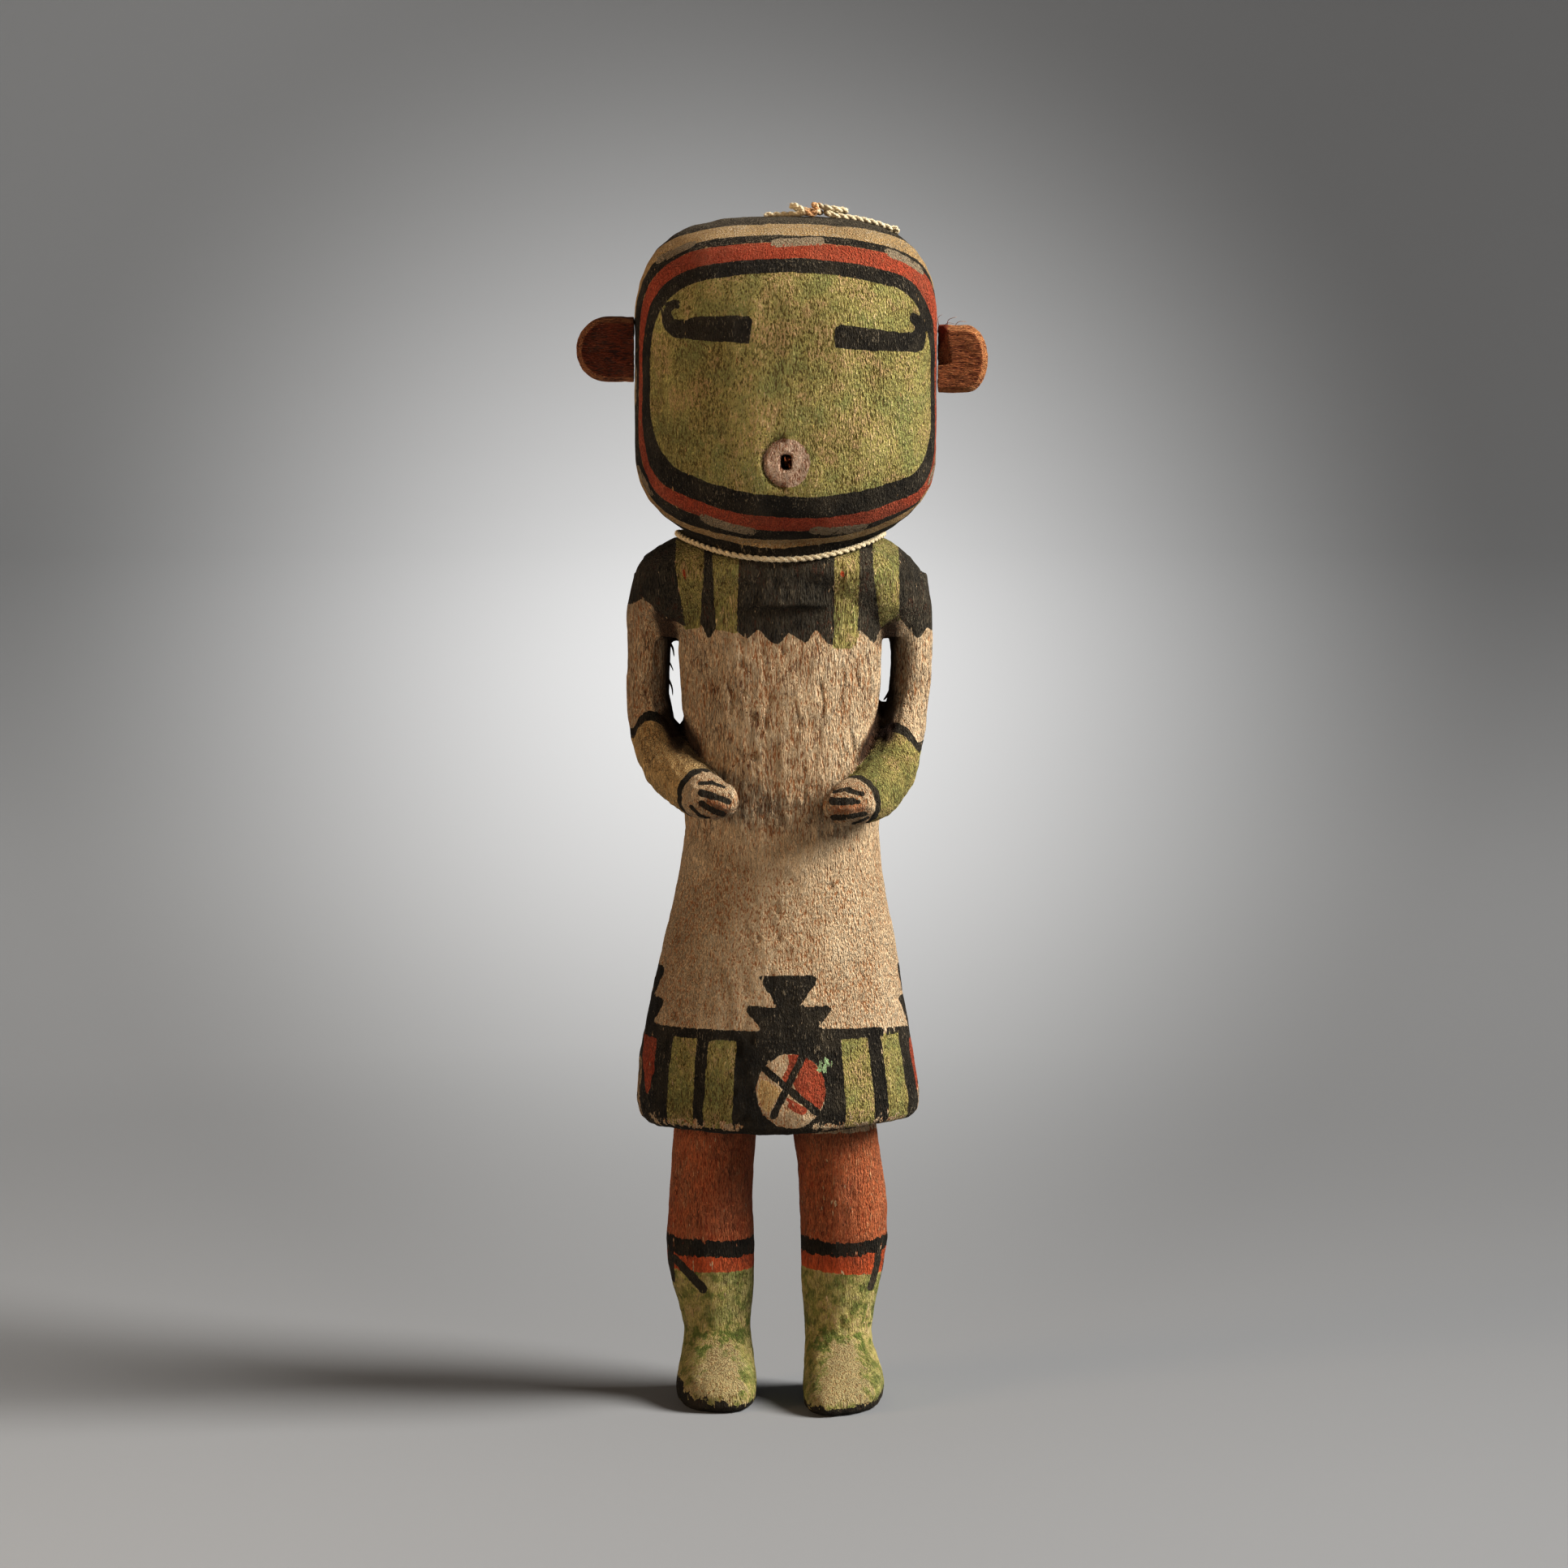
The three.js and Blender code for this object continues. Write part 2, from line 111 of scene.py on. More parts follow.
def newTree(name, kind, inputs, outputs):
    tree = bpy.data.node_groups.new(name, kind)
    for label, socketType, value in inputs:
        socket = tree.interface.new_socket(label, in_out="INPUT", socket_type=socketType)
        if value is not None:
            socket.default_value = value
    for label, socketType in outputs:
        tree.interface.new_socket(label, in_out="OUTPUT", socket_type=socketType)
    return tree, tree.nodes.new("NodeGroupInput").outputs, tree.nodes.new("NodeGroupOutput")


def applied(source, name):
    # the source with its modifiers applied, as a new plain mesh object
    depsgraph = bpy.context.evaluated_depsgraph_get()
    evaluated = source.evaluated_get(depsgraph)
    mesh = bpy.data.meshes.new_from_object(evaluated, depsgraph=depsgraph)
    mesh.name = name
    piece = bpy.data.objects.new(name, mesh)
    bpy.context.collection.objects.link(piece)
    bpy.data.objects.remove(source, do_unlink=True)
    return piece


def runTree(source, tree, values, name):
    modifier = source.modifiers.new(tree.name, "NODES")
    modifier.node_group = tree
    for item in tree.interface.items_tree:
        if item.item_type == "SOCKET" and item.in_out == "INPUT" and item.name in values:
            modifier[item.identifier] = values[item.name]
    return applied(source, name)


def finished(piece, slotName, *nodes):
    piece.data.shade_smooth()
    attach(piece, "root")
    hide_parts(*nodes)


# Shared finishes: grain of the wood, a coat of paint with its valleys, peaks and flakes, and dust
def buildGrainGroup():
    inputs = [("Vector", "NodeSocketVector", None), ("Size", "NodeSocketFloat", 1.0),
              ("Stretch", "NodeSocketFloat", 3.0)]
    outputs = [(label, "NodeSocketFloat") for label in ("Height", "Fine", "Bump", "Flake", "Mottle", "Wobble")]
    tree, given, result = newTree("woodGrain", "ShaderNodeTree", inputs, outputs)
    squeeze = addNode(tree, "ShaderNodeCombineXYZ", {0: 1.0, 1: 1.0, 2: calc(tree, "DIVIDE", 1.0, given["Stretch"])})
    along = vectorCalc(tree, "MULTIPLY", given["Vector"], squeeze.outputs[0])
    place = vectorCalc(tree, "DIVIDE", along, given["Size"])

    def noise(vector, scale, detail, rough=0.6):
        settings = {"Vector": vector, "Scale": scale, "Detail": detail, "Roughness": rough}
        return addNode(tree, "ShaderNodeTexNoise", settings).outputs["Fac"]

    coarse = noise(place, 1.0, 2.5, 0.62)
    fine = noise(place, 2.1, 1.0)
    height = calc(tree, "ADD", calc(tree, "MULTIPLY", coarse, 0.6), calc(tree, "MULTIPLY", fine, 0.4))
    plug(tree, result, "Height", remap(tree, height, 0.34, 0.66))
    plug(tree, result, "Fine", remap(tree, fine, 0.32, 0.68))
    peaks = remap(tree, coarse, 0.5, 0.66)      # raised specks between hollows
    raised = calc(tree, "ADD", calc(tree, "MULTIPLY", coarse, 0.6), calc(tree, "MULTIPLY", peaks, 0.35))
    plug(tree, result, "Bump", calc(tree, "ADD", raised, calc(tree, "MULTIPLY", fine, 0.3)))
    plug(tree, result, "Flake", noise(along, 0.75, 2.0, 0.7))
    plug(tree, result, "Mottle", noise(given["Vector"], 0.11, 3.0, 0.68))
    wobble = calc(tree, "SUBTRACT", noise(given["Vector"], 0.5, 2.0, 0.65), 0.5)
    plug(tree, result, "Wobble", calc(tree, "MULTIPLY", wobble, 2.0))
    return tree


def buildCoatGroup():
    colours = ("Under", "Coat", "Valley", "Peak")
    inputs = [(label, "NodeSocketColor", (0.5, 0.4, 0.3, 1)) for label in colours]
    numbers = {"Edge": 0.0, "Wobble": 0.0, "Ragged": 0.35, "Height": 0.5, "Flake": 0.5, "Wear": 0.2}
    inputs += [(label, "NodeSocketFloat", value) for label, value in numbers.items()]
    outputs = [("Colour", "NodeSocketColor"), ("Mask", "NodeSocketFloat")]
    tree, given, result = newTree("paintCoat", "ShaderNodeTree", inputs, outputs)
    edge = calc(tree, "ADD", given["Edge"], calc(tree, "MULTIPLY", given["Wobble"], given["Ragged"]))
    inside = remap(tree, edge, 0.09, -0.09)
    left = calc(tree, "SUBTRACT", 0.74, calc(tree, "MULTIPLY", given["Wear"], 0.4))   # noise level where paint goes
    nearEdge = remap(tree, edge, -1.2, 0.0, 0.0, 0.05)
    gone = remap(tree, calc(tree, "ADD", given["Flake"], nearEdge), left, calc(tree, "ADD", left, 0.03))
    kept = calc(tree, "MULTIPLY", inside, calc(tree, "SUBTRACT", 1.0, gone))
    shaded = mixColour(tree, remap(tree, given["Height"], 0.04, 0.46), given["Valley"], given["Coat"])
    raised = mixColour(tree, remap(tree, given["Height"], 0.74, 1.1), shaded, given["Peak"])
    plug(tree, result, "Colour", mixColour(tree, kept, given["Under"], raised))
    plug(tree, result, "Mask", kept)
    return tree


def buildDustGroup():
    inputs = [("Colour", "NodeSocketColor", (0.5, 0.5, 0.5, 1)), ("Dust", "NodeSocketColor", pigment(150, 135, 110)),
              ("Mottle", "NodeSocketFloat", 0.5), ("Amount", "NodeSocketFloat", 0.15)]
    tree, given, result = newTree("handledDust", "ShaderNodeTree", inputs, [("Colour", "NodeSocketColor")])
    share = calc(tree, "MULTIPLY", remap(tree, given["Mottle"], 0.35, 0.75), given["Amount"])
    plug(tree, result, "Colour", mixColour(tree, share, given["Colour"], given["Dust"]))
    return tree


def buildStrokeGroup():
    # distance in mm to a straight brush stroke on the XZ plane
    inputs = [("Vector", "NodeSocketVector", None), ("Start", "NodeSocketVector", (0, 0, 0)),
              ("End", "NodeSocketVector", (0, 0, 1)), ("Half", "NodeSocketFloat", 1.0)]
    tree, given, result = newTree("brushStroke", "ShaderNodeTree", inputs, [("Distance", "NodeSocketFloat")])
    flat = vectorCalc(tree, "MULTIPLY", given["Vector"], (1, 0, 1))
    step = vectorCalc(tree, "SUBTRACT", given["End"], given["Start"])
    away = vectorCalc(tree, "SUBTRACT", flat, given["Start"])
    share = calc(tree, "DIVIDE", measure(tree, "DOT_PRODUCT", away, step), measure(tree, "DOT_PRODUCT", step, step))
    kept = calc(tree, "MINIMUM", calc(tree, "MAXIMUM", share, 0.0), 1.0)
    gap = vectorCalc(tree, "SUBTRACT", away, addNode(tree, "ShaderNodeVectorMath", {0: step, 3: kept}, operation="SCALE").outputs[0])
    plug(tree, result, "Distance", calc(tree, "SUBTRACT", measure(tree, "LENGTH", gap), given["Half"]))
    return tree


grainGroup = buildGrainGroup()
strokeGroup = buildStrokeGroup()
coatGroup = buildCoatGroup()
dustGroup = buildDustGroup()


def newMaterial(name, roughness):
    material = bpy.data.materials.new(name)
    material.use_nodes = True
    tree = material.node_tree
    shader = tree.nodes["Principled BSDF"]
    shader.inputs["Roughness"].default_value = roughness
    shader.inputs["Specular IOR Level"].default_value = 0.25
    return material, tree, shader


def objectPlace(tree):
    # object coordinates in millimetres
    place = tree.nodes.new("ShaderNodeTexCoord").outputs["Object"]
    return vectorCalc(tree, "MULTIPLY", place, (1000.0, 1000.0, 1000.0))


def addBump(tree, shader, height, distance, strength=1.0):
    bump = addNode(tree, "ShaderNodeBump", {"Height": height, "Distance": distance, "Strength": strength})
    tree.links.new(bump.outputs["Normal"], shader.inputs["Normal"])


print("shared finishes built")


# Cotton strings: two plies of three yarns, twisted, with loose hairs
stringSizes = {
    "diameter": 1.7, "plyPitch": 4.2, "yarnPitch": 2.2, "plyOffset": 0.3, "yarnOffset": 0.22, "yarnRadius": 0.35,
    "step": 0.3, "hairStep": 0.42, "hairRadius": 0.016, "hairSeed": 7,
}
stringColours = {
    "valley": pigment(196, 172, 130), "fibre": pigment(236, 220, 186), "peak": pigment(250, 242, 220),
    "stain": pigment(206, 146, 84), "stainX": 7.9, "stainHalf": 2.2,
}


def buildStringTree():
    inputs = [("Curve", "NodeSocketGeometry", None), ("Ply Pitch", "NodeSocketFloat", 0.0046),
              ("Yarn Pitch", "NodeSocketFloat", 0.0021), ("Ply Offset", "NodeSocketFloat", 0.0004),
              ("Yarn Offset", "NodeSocketFloat", 0.0002), ("Yarn Radius", "NodeSocketFloat", 0.00022),
              ("Step", "NodeSocketFloat", 0.0003), ("Fray", "NodeSocketFloat", 0.003),
              ("Hair Step", "NodeSocketFloat", 0.0004), ("Hair Radius", "NodeSocketFloat", 0.000016),
              ("Hair Seed", "NodeSocketInt", 7), ("Material", "NodeSocketMaterial", None)]
    tree, given, result = newTree("twistedString", "GeometryNodeTree", inputs, [("Mesh", "NodeSocketGeometry")])
    even = addNode(tree, "GeometryNodeResampleCurve", {"Curve": given["Curve"], "Length": given["Step"]}, mode="LENGTH")
    copies = addNode(tree, "GeometryNodeDuplicateElements", {"Geometry": even.outputs[0], "Amount": 6}, domain="SPLINE")
    along = tree.nodes.new("GeometryNodeSplineParameter").outputs["Length"]
    total = tree.nodes.new("GeometryNodeSplineLength").outputs["Length"]
    index = copies.outputs["Duplicate Index"]
    ply = calc(tree, "FLOOR", calc(tree, "DIVIDE", index, 3.0))
    yarn = calc(tree, "MODULO", index, 3.0)
    plyTurn = calc(tree, "MULTIPLY", calc(tree, "DIVIDE", along, given["Ply Pitch"]), math.tau)
    plyAngle = calc(tree, "ADD", plyTurn, calc(tree, "MULTIPLY", ply, math.pi))
    yarnTurn = calc(tree, "MULTIPLY", calc(tree, "DIVIDE", along, given["Yarn Pitch"]), -math.tau)
    yarnAngle = calc(tree, "ADD", yarnTurn, calc(tree, "MULTIPLY", yarn, math.tau / 3))
    toEnd = calc(tree, "DIVIDE", calc(tree, "SUBTRACT", total, along), given["Fray"])
    open_ = remap(tree, toEnd, 1.0, 0.0)
    normal = tree.nodes.new("GeometryNodeInputNormal").outputs[0]
    tangent = tree.nodes.new("GeometryNodeInputTangent").outputs[0]
    across = vectorCalc(tree, "CROSS_PRODUCT", tangent, normal)

    def offset(angle, reach):
        first = addNode(tree, "ShaderNodeVectorMath", {0: normal, 3: calc(tree, "MULTIPLY", calc(tree, "COSINE", angle), reach)},
                        operation="SCALE").outputs[0]
        second = addNode(tree, "ShaderNodeVectorMath", {0: across, 3: calc(tree, "MULTIPLY", calc(tree, "SINE", angle), reach)},
                         operation="SCALE").outputs[0]
        return vectorCalc(tree, "ADD", first, second)

    plyReach = calc(tree, "MULTIPLY", given["Ply Offset"], calc(tree, "ADD", 1.0, calc(tree, "MULTIPLY", open_, 1.4)))
    yarnReach = calc(tree, "MULTIPLY", given["Yarn Offset"], calc(tree, "ADD", 1.0, calc(tree, "MULTIPLY", open_, 2.2)))
    moved = vectorCalc(tree, "ADD", offset(plyAngle, plyReach), offset(yarnAngle, yarnReach))
    wander = addNode(tree, "ShaderNodeTexNoise", {"Scale": 900.0, "Detail": 1.0})
    centred = vectorCalc(tree, "SUBTRACT", wander.outputs["Color"], (0.5, 0.5, 0.5))
    jitter = vectorCalc(tree, "MULTIPLY", centred, (0.00022, 0.00022, 0.00022))
    strands = addNode(tree, "GeometryNodeSetPosition", {"Geometry": copies.outputs[0],
                                                        "Offset": vectorCalc(tree, "ADD", moved, jitter)})
    section = addNode(tree, "GeometryNodeCurvePrimitiveCircle", {"Resolution": 6, "Radius": given["Yarn Radius"]})
    yarns = addNode(tree, "GeometryNodeCurveToMesh", {"Curve": strands.outputs[0], "Profile Curve": section.outputs[0],
                                                      "Fill Caps": True})
    # short bent hairs standing off the string
    points = addNode(tree, "GeometryNodeCurveToPoints", {"Curve": given["Curve"], "Length": given["Hair Step"]},
                     mode="LENGTH")
    bend = addNode(tree, "GeometryNodeCurveQuadraticBezier", {"Resolution": 5, "Start": (0, 0, 0),
                                                              "Middle": (0.0004, 0, 0.001), "End": (0.0012, 0.0003, 0.0014)})
    thin = addNode(tree, "GeometryNodeCurvePrimitiveCircle", {"Resolution": 3, "Radius": given["Hair Radius"]})
    hair = addNode(tree, "GeometryNodeCurveToMesh", {"Curve": bend.outputs[0], "Profile Curve": thin.outputs[0],
                                                     "Fill Caps": True})
    turn = addNode(tree, "FunctionNodeRandomValue", {0: (0, 0, 0), 1: (6.28, 6.28, 6.28), "Seed": given["Hair Seed"]},
                   data_type="FLOAT_VECTOR")
    rotation = addNode(tree, "FunctionNodeEulerToRotation", {0: turn.outputs[0]})
    scale = addNode(tree, "FunctionNodeRandomValue", {2: 0.55, 3: 1.0, "Seed": given["Hair Seed"]}, data_type="FLOAT")
    hairs = addNode(tree, "GeometryNodeInstanceOnPoints", {"Points": points.outputs[0], "Instance": hair.outputs[0],
                                                           "Rotation": rotation.outputs[0], "Scale": scale.outputs[1]})
    whole = tree.nodes.new("GeometryNodeJoinGeometry")
    tree.links.new(yarns.outputs[0], whole.inputs[0])
    tree.links.new(hairs.outputs[0], whole.inputs[0])
    real = addNode(tree, "GeometryNodeRealizeInstances", {0: whole.outputs[0]})
    coloured = addNode(tree, "GeometryNodeSetMaterial", {"Geometry": real.outputs[0], "Material": given["Material"]})
    tree.links.new(coloured.outputs[0], result.inputs["Mesh"])
    return tree


def stringMaterial():
    material, tree, shader = newMaterial("cottonString", 0.9)
    place = objectPlace(tree)
    grain = addNode(tree, "ShaderNodeGroup", {"Vector": place, "Size": 0.28, "Stretch": 1.0}, node_tree=grainGroup)
    colours = stringColours
    base = mixColour(tree, grain.outputs["Height"], colours["valley"], colours["fibre"])
    lit = mixColour(tree, remap(tree, grain.outputs["Fine"], 0.5, 1.0), base, colours["peak"])
    x = addNode(tree, "ShaderNodeSeparateXYZ", {0: place}).outputs
    offStain = calc(tree, "ABSOLUTE", calc(tree, "SUBTRACT", x["X"], colours["stainX"]))
    ragged = calc(tree, "ADD", offStain, calc(tree, "MULTIPLY", grain.outputs["Wobble"], 2.5))
    onCrown = remap(tree, x["Z"], 300.0, 305.0)
    stain = calc(tree, "MULTIPLY", remap(tree, ragged, colours["stainHalf"] + 1, colours["stainHalf"] - 1.5), onCrown)
    stained = mixColour(tree, calc(tree, "MULTIPLY", stain, 0.7), lit, colours["stain"], "MULTIPLY")
    dusty = addNode(tree, "ShaderNodeGroup", {"Colour": stained, "Mottle": grain.outputs["Mottle"], "Amount": 0.25},
                    node_tree=dustGroup)
    tree.links.new(dusty.outputs[0], shader.inputs["Base Color"])
    addBump(tree, shader, grain.outputs["Fine"], 0.00008)
    return material


def smoothRoute(points, steps=8):
    # Catmull-Rom curve through the points
    ends = [points[0] * 2 - points[1], *points, points[-1] * 2 - points[-2]]
    route = []
    for k in range(1, len(ends) - 2):
        a, b, c, d = ends[k - 1:k + 3]
        for step in range(steps):
            t = step / steps
            route.append(0.5 * (2 * b + (c - a) * t + (2 * a - 5 * b + 4 * c - d) * t * t
                                + (3 * b - a - 3 * c + d) * t ** 3))
    return [*route, points[-1]]


def routeLength(route):
    return sum((b - a).length for a, b in zip(route, route[1:]))


def routesToString(name, routes, fray, seed):
    # routes in mm
    curve = bpy.data.curves.new(name + "_line", "CURVE")
    curve.dimensions = "3D"
    for route in routes:
        spline = curve.splines.new("POLY")
        spline.points.add(len(route) - 1)
        for point, place in zip(spline.points, route):
            point.co = (*(place * mm), 1)
    line = bpy.data.objects.new(name + "_line", curve)
    bpy.context.collection.objects.link(line)
    s = stringSizes
    values = {"Ply Pitch": s["plyPitch"] * mm, "Yarn Pitch": s["yarnPitch"] * mm, "Ply Offset": s["plyOffset"] * mm,
              "Yarn Offset": s["yarnOffset"] * mm, "Yarn Radius": s["yarnRadius"] * mm, "Step": s["step"] * mm,
              "Fray": fray * mm, "Hair Step": s["hairStep"] * mm, "Hair Radius": s["hairRadius"] * mm,
              "Hair Seed": seed, "Material": cottonMaterial}
    return runTree(line, stringTree, values, name)


stringTree = buildStringTree()
cottonMaterial = stringMaterial()

# the head's dome, as the solid has it: the crown string lies on it
head = {
    "centreX": 1.1, "lean": 0.003, "width": 79.9, "front": 34.5, "back": 34.0, "plan": 2.25,
    "crownZ": 315.1, "browZ": 283.0, "jawZ": 254.8, "chinZ": 229.8, "chinDrop": 4.5, "crownPower": 3.1,
}


def domeZ(x, y):
    middle = head["centreX"] + head["lean"] * (head["crownZ"] - head["jawZ"])
    across = abs(x - middle) / (head["width"] / 2)
    along = abs(y) / (head["front"] if y < 0 else head["back"])
    share = (across ** head["plan"] + along ** head["plan"]) ** (1 / head["plan"])
    rise = (1 - share ** head["crownPower"]) ** (1 / head["crownPower"])
    return head["browZ"] + (head["crownZ"] - head["browZ"]) * rise


# x, y and height over the dome
crownRoute = [
    (-4.4, 0.6, 1.0), (-1.8, 0.2, 1.0), (0.8, -0.8, 1.1), (3.6, -1.9, 1.2), (6.6, -2.5, 1.5),
    (9.3, -1.8, 1.7), (10.2, 0.9, 1.7), (8.0, 2.4, 2.0), (4.8, 2.0, 2.5), (2.7, 0.6, 3.2), (3.3, -1.2, 3.5),
    (4.6, -2.9, 2.9), (6.2, -4.2, 1.9), (8.0, -3.9, 1.3), (9.4, -3.6, 2.2), (9.2, -2.4, 3.2), (8.4, -0.8, 3.6),
    (9.6, 0.4, 3.5), (11.7, -0.9, 3.0), (14.6, -1.0, 2.9), (17.0, 0.0, 2.7),
    (16.0, 1.5, 2.1), (13.6, 1.7, 1.9), (11.8, 0.2, 2.0), (12.4, -2.0, 1.4), (15.0, -2.4, 1.1), (18.4, -1.6, 1.05),
    (22.2, -0.7, 1.0), (26.0, -0.1, 1.0), (29.0, 0.2, 0.95), (30.6, 0.3, 0.9),
]


def makeCrownString():
    settle = 0.25       # the string beds into the rough crown
    route = smoothRoute([Vector((x, y, domeZ(x, y) + lift - settle)) for x, y, lift in crownRoute])
    piece = routesToString("crown_string", [route], 4.0, 11)
    finished(piece, "cotton_string", "crown_cord")


neckLoop = {"centreX": -0.3, "halfWidth": 27.2, "front": 25.4, "back": 22.2, "sideZ": 231.9,
            "frontDrop": 5.1, "backDrop": 3.4}
neckTails = [
    [(0.6, 23.6, 228.2), (2.6, 24.0, 224.4), (3.4, 23.6, 219.6), (3.0, 23.2, 214.4)],
    [(-0.6, 23.6, 228.2), (-2.2, 24.0, 224.8), (-3.8, 23.8, 221.0), (-4.8, 23.4, 217.6)],
]
neckKnot = {"y": 23.4, "z": 228.4, "reach": 1.45, "depth": 0.75, "turns": 2}


def neckPoint(angle):
    along = math.sin(angle)
    reach = neckLoop["front"] if along < 0 else neckLoop["back"]
    drop = neckLoop["frontDrop"] if along < 0 else neckLoop["backDrop"]
    x = neckLoop["centreX"] + neckLoop["halfWidth"] * math.cos(angle)
    return Vector((x, reach * along, neckLoop["sideZ"] - drop * along ** 2))


def makeNeckString():
    steps = 180
    loop = [neckPoint(math.pi / 2 + math.tau * k / steps) for k in range(steps + 1)]
    tails = [smoothRoute([Vector(place) for place in tail]) for tail in neckTails]
    knot = []
    for k in range(41):
        angle = math.tau * neckKnot["turns"] * k / 40
        x = neckKnot["reach"] * math.sin(angle * 1.5)
        z = neckKnot["z"] + neckKnot["reach"] * 0.75 * math.cos(angle)
        knot.append(Vector((x, neckKnot["y"] + neckKnot["depth"] * math.sin(angle), z)))
    piece = routesToString("neck_string", [loop, *tails, knot], 2.5, 23)
    finished(piece, "cotton_string", "neck_cord")
    print("neck string", round(routeLength(loop) * mm, 4), "m round,", len(piece.data.polygons), "faces")


makeCrownString()
makeNeckString()


# Distances in mm on flat patterns, less than nothing inside
def polygonDistance(x, z, corners):
    nearest = np.full(x.shape, 1e9)
    inside = np.zeros(x.shape, bool)
    for (ax, az), (bx, bz) in zip(corners, corners[1:] + corners[:1]):
        dx, dz = bx - ax, bz - az
        share = np.clip(((x - ax) * dx + (z - az) * dz) / (dx * dx + dz * dz), 0, 1)
        nearest = np.minimum(nearest, np.hypot(x - ax - share * dx, z - az - share * dz))
        if az != bz:
            crosses = (az > z) != (bz > z)
            inside ^= crosses & (x < ax + (z - az) / (bz - az) * dx)
    return np.where(inside, -nearest, nearest)


def strokeDistance(x, z, start, end, half):
    dx, dz = end[0] - start[0], end[1] - start[1]
    share = np.clip(((x - start[0]) * dx + (z - start[1]) * dz) / (dx * dx + dz * dz), 0, 1)
    return np.hypot(x - start[0] - share * dx, z - start[1] - share * dz) - half


def roundedBoxDistance(u, v, box):
    left, right, bottom, top = box["sides"]
    upperLeft, upperRight, lowerRight, lowerLeft = box["corners"]
    cu, cv = (left + right) / 2, (bottom + top) / 2
    radius = np.where(v > cv, np.where(u > cu, upperRight, upperLeft), np.where(u > cu, lowerRight, lowerLeft))
    du = np.abs(u - cu) - (right - left) / 2 + radius
    dv = np.abs(v - cv) - (top - bottom) / 2 + radius
    return np.minimum(np.maximum(du, dv), 0) + np.hypot(np.maximum(du, 0), np.maximum(dv, 0)) - radius


def overlap(*distances):
    return np.maximum.reduce(np.broadcast_arrays(*distances))


def union(*distances):
    return np.minimum.reduce(np.broadcast_arrays(*distances))


noiseTables = {}


def latticeNoise(points, size, seed):
    # smooth noise from -1 to 1; size is its cell in mm along x, y and z
    count = 32
    if seed not in noiseTables:
        noiseTables[seed] = np.random.default_rng(seed).uniform(-1, 1, (count, count, count))
    turned = points @ np.array([[0.914, -0.407, 0], [0.407, 0.914, 0], [0, 0, 1]])
    place = turned / np.asarray(size) + seed * 3.7
    low = np.floor(place).astype(int)
    share = place - low
    share = share * share * (3 - 2 * share)
    total = np.zeros(len(points))
    for corner in range(8):
        step = np.array([corner & 1, corner >> 1 & 1, corner >> 2])
        weight = np.prod(np.where(step == 1, share, 1 - share), axis=1)
        i, j, k = ((low + step) % count).T
        total += weight * noiseTables[seed][i, j, k]
    return total


# Mesh helpers
def copyOfNode(node, name):
    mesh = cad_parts[node].data.copy()
    work = bmesh.new()
    work.from_mesh(mesh)
    bmesh.ops.remove_doubles(work, verts=work.verts, dist=1e-5)
    work.to_mesh(mesh)
    work.free()
    piece = bpy.data.objects.new(name, mesh)
    bpy.context.collection.objects.link(piece)
    return piece


def remeshed(piece, voxel, name):
    modifier = piece.modifiers.new("remesh", "REMESH")
    modifier.mode = "VOXEL"
    modifier.voxel_size = voxel * mm
    return applied(piece, name)


def thinned(piece, triangles, name):
    count = sum(len(face.vertices) - 2 for face in piece.data.polygons)
    if count <= triangles:
        return piece
    modifier = piece.modifiers.new("thin", "DECIMATE")
    modifier.ratio = triangles / count
    return applied(piece, name)


def readPoints(mesh):
    points = np.empty(len(mesh.vertices) * 3)
    mesh.vertices.foreach_get("co", points)
    return points.reshape(-1, 3) / mm


def writePoints(mesh, points):
    mesh.vertices.foreach_set("co", (points * mm).ravel())
    mesh.update()


def readNormals(mesh):
    normals = np.empty(len(mesh.vertices) * 3)
    mesh.vertex_normals.foreach_get("vector", normals)
    return normals.reshape(-1, 3)


def smoothPoints(mesh, points, rounds, hold):
    # evens out the facets without shrinking the form; hold is 0 where a point stays
    edges = np.empty(len(mesh.edges) * 2, int)
    mesh.edges.foreach_get("vertices", edges)
    edges = edges.reshape(-1, 2)
    here = np.concatenate([edges[:, 0], edges[:, 1]])
    there = np.concatenate([edges[:, 1], edges[:, 0]])
    count = len(points)
    valence = np.bincount(here, minlength=count)[:, None]
    for _ in range(rounds):
        for strength in (0.6, -0.615):
            sums = np.stack([np.bincount(here, points[there, axis], count) for axis in range(3)], 1)
            points = points + hold[:, None] * strength * (sums / valence - points)
    return points


def storeValues(mesh, name, values):
    attribute = mesh.attributes.new(name, "FLOAT", "POINT")
    attribute.data.foreach_set("value", np.ascontiguousarray(values, dtype=np.float32))


def addFibres(piece, fibres):
    # each fibre is (points in mm, thickness at its root in mm), tapering to its tip
    work = bmesh.new()
    work.from_mesh(piece.data)
    for points, thick in fibres:
        route = smoothRoute([Vector(place) for place in points], 4)
        rings = []
        for k, place in enumerate(route[:-1]):
            along = (route[k + 1] - place).normalized()
            side = along.orthogonal().normalized()
            over = along.cross(side)
            reach = thick / 2 * (1 - k / len(route)) ** 0.6
            ring = []
            for corner in range(4):
                angle = corner * math.pi / 2
                spot = place + reach * (side * math.cos(angle) + over * math.sin(angle))
                ring.append(work.verts.new(spot * mm))
            rings.append(ring)
        tip = work.verts.new(route[-1] * mm)
        for low, high in zip(rings, rings[1:]):
            for i in range(4):
                j = (i + 1) % 4
                work.faces.new((low[i], low[j], high[j], high[i]))
        for i in range(4):
            work.faces.new((rings[-1][i], rings[-1][(i + 1) % 4], tip))
        work.faces.new(rings[0][::-1])
    work.to_mesh(piece.data)
    work.free()


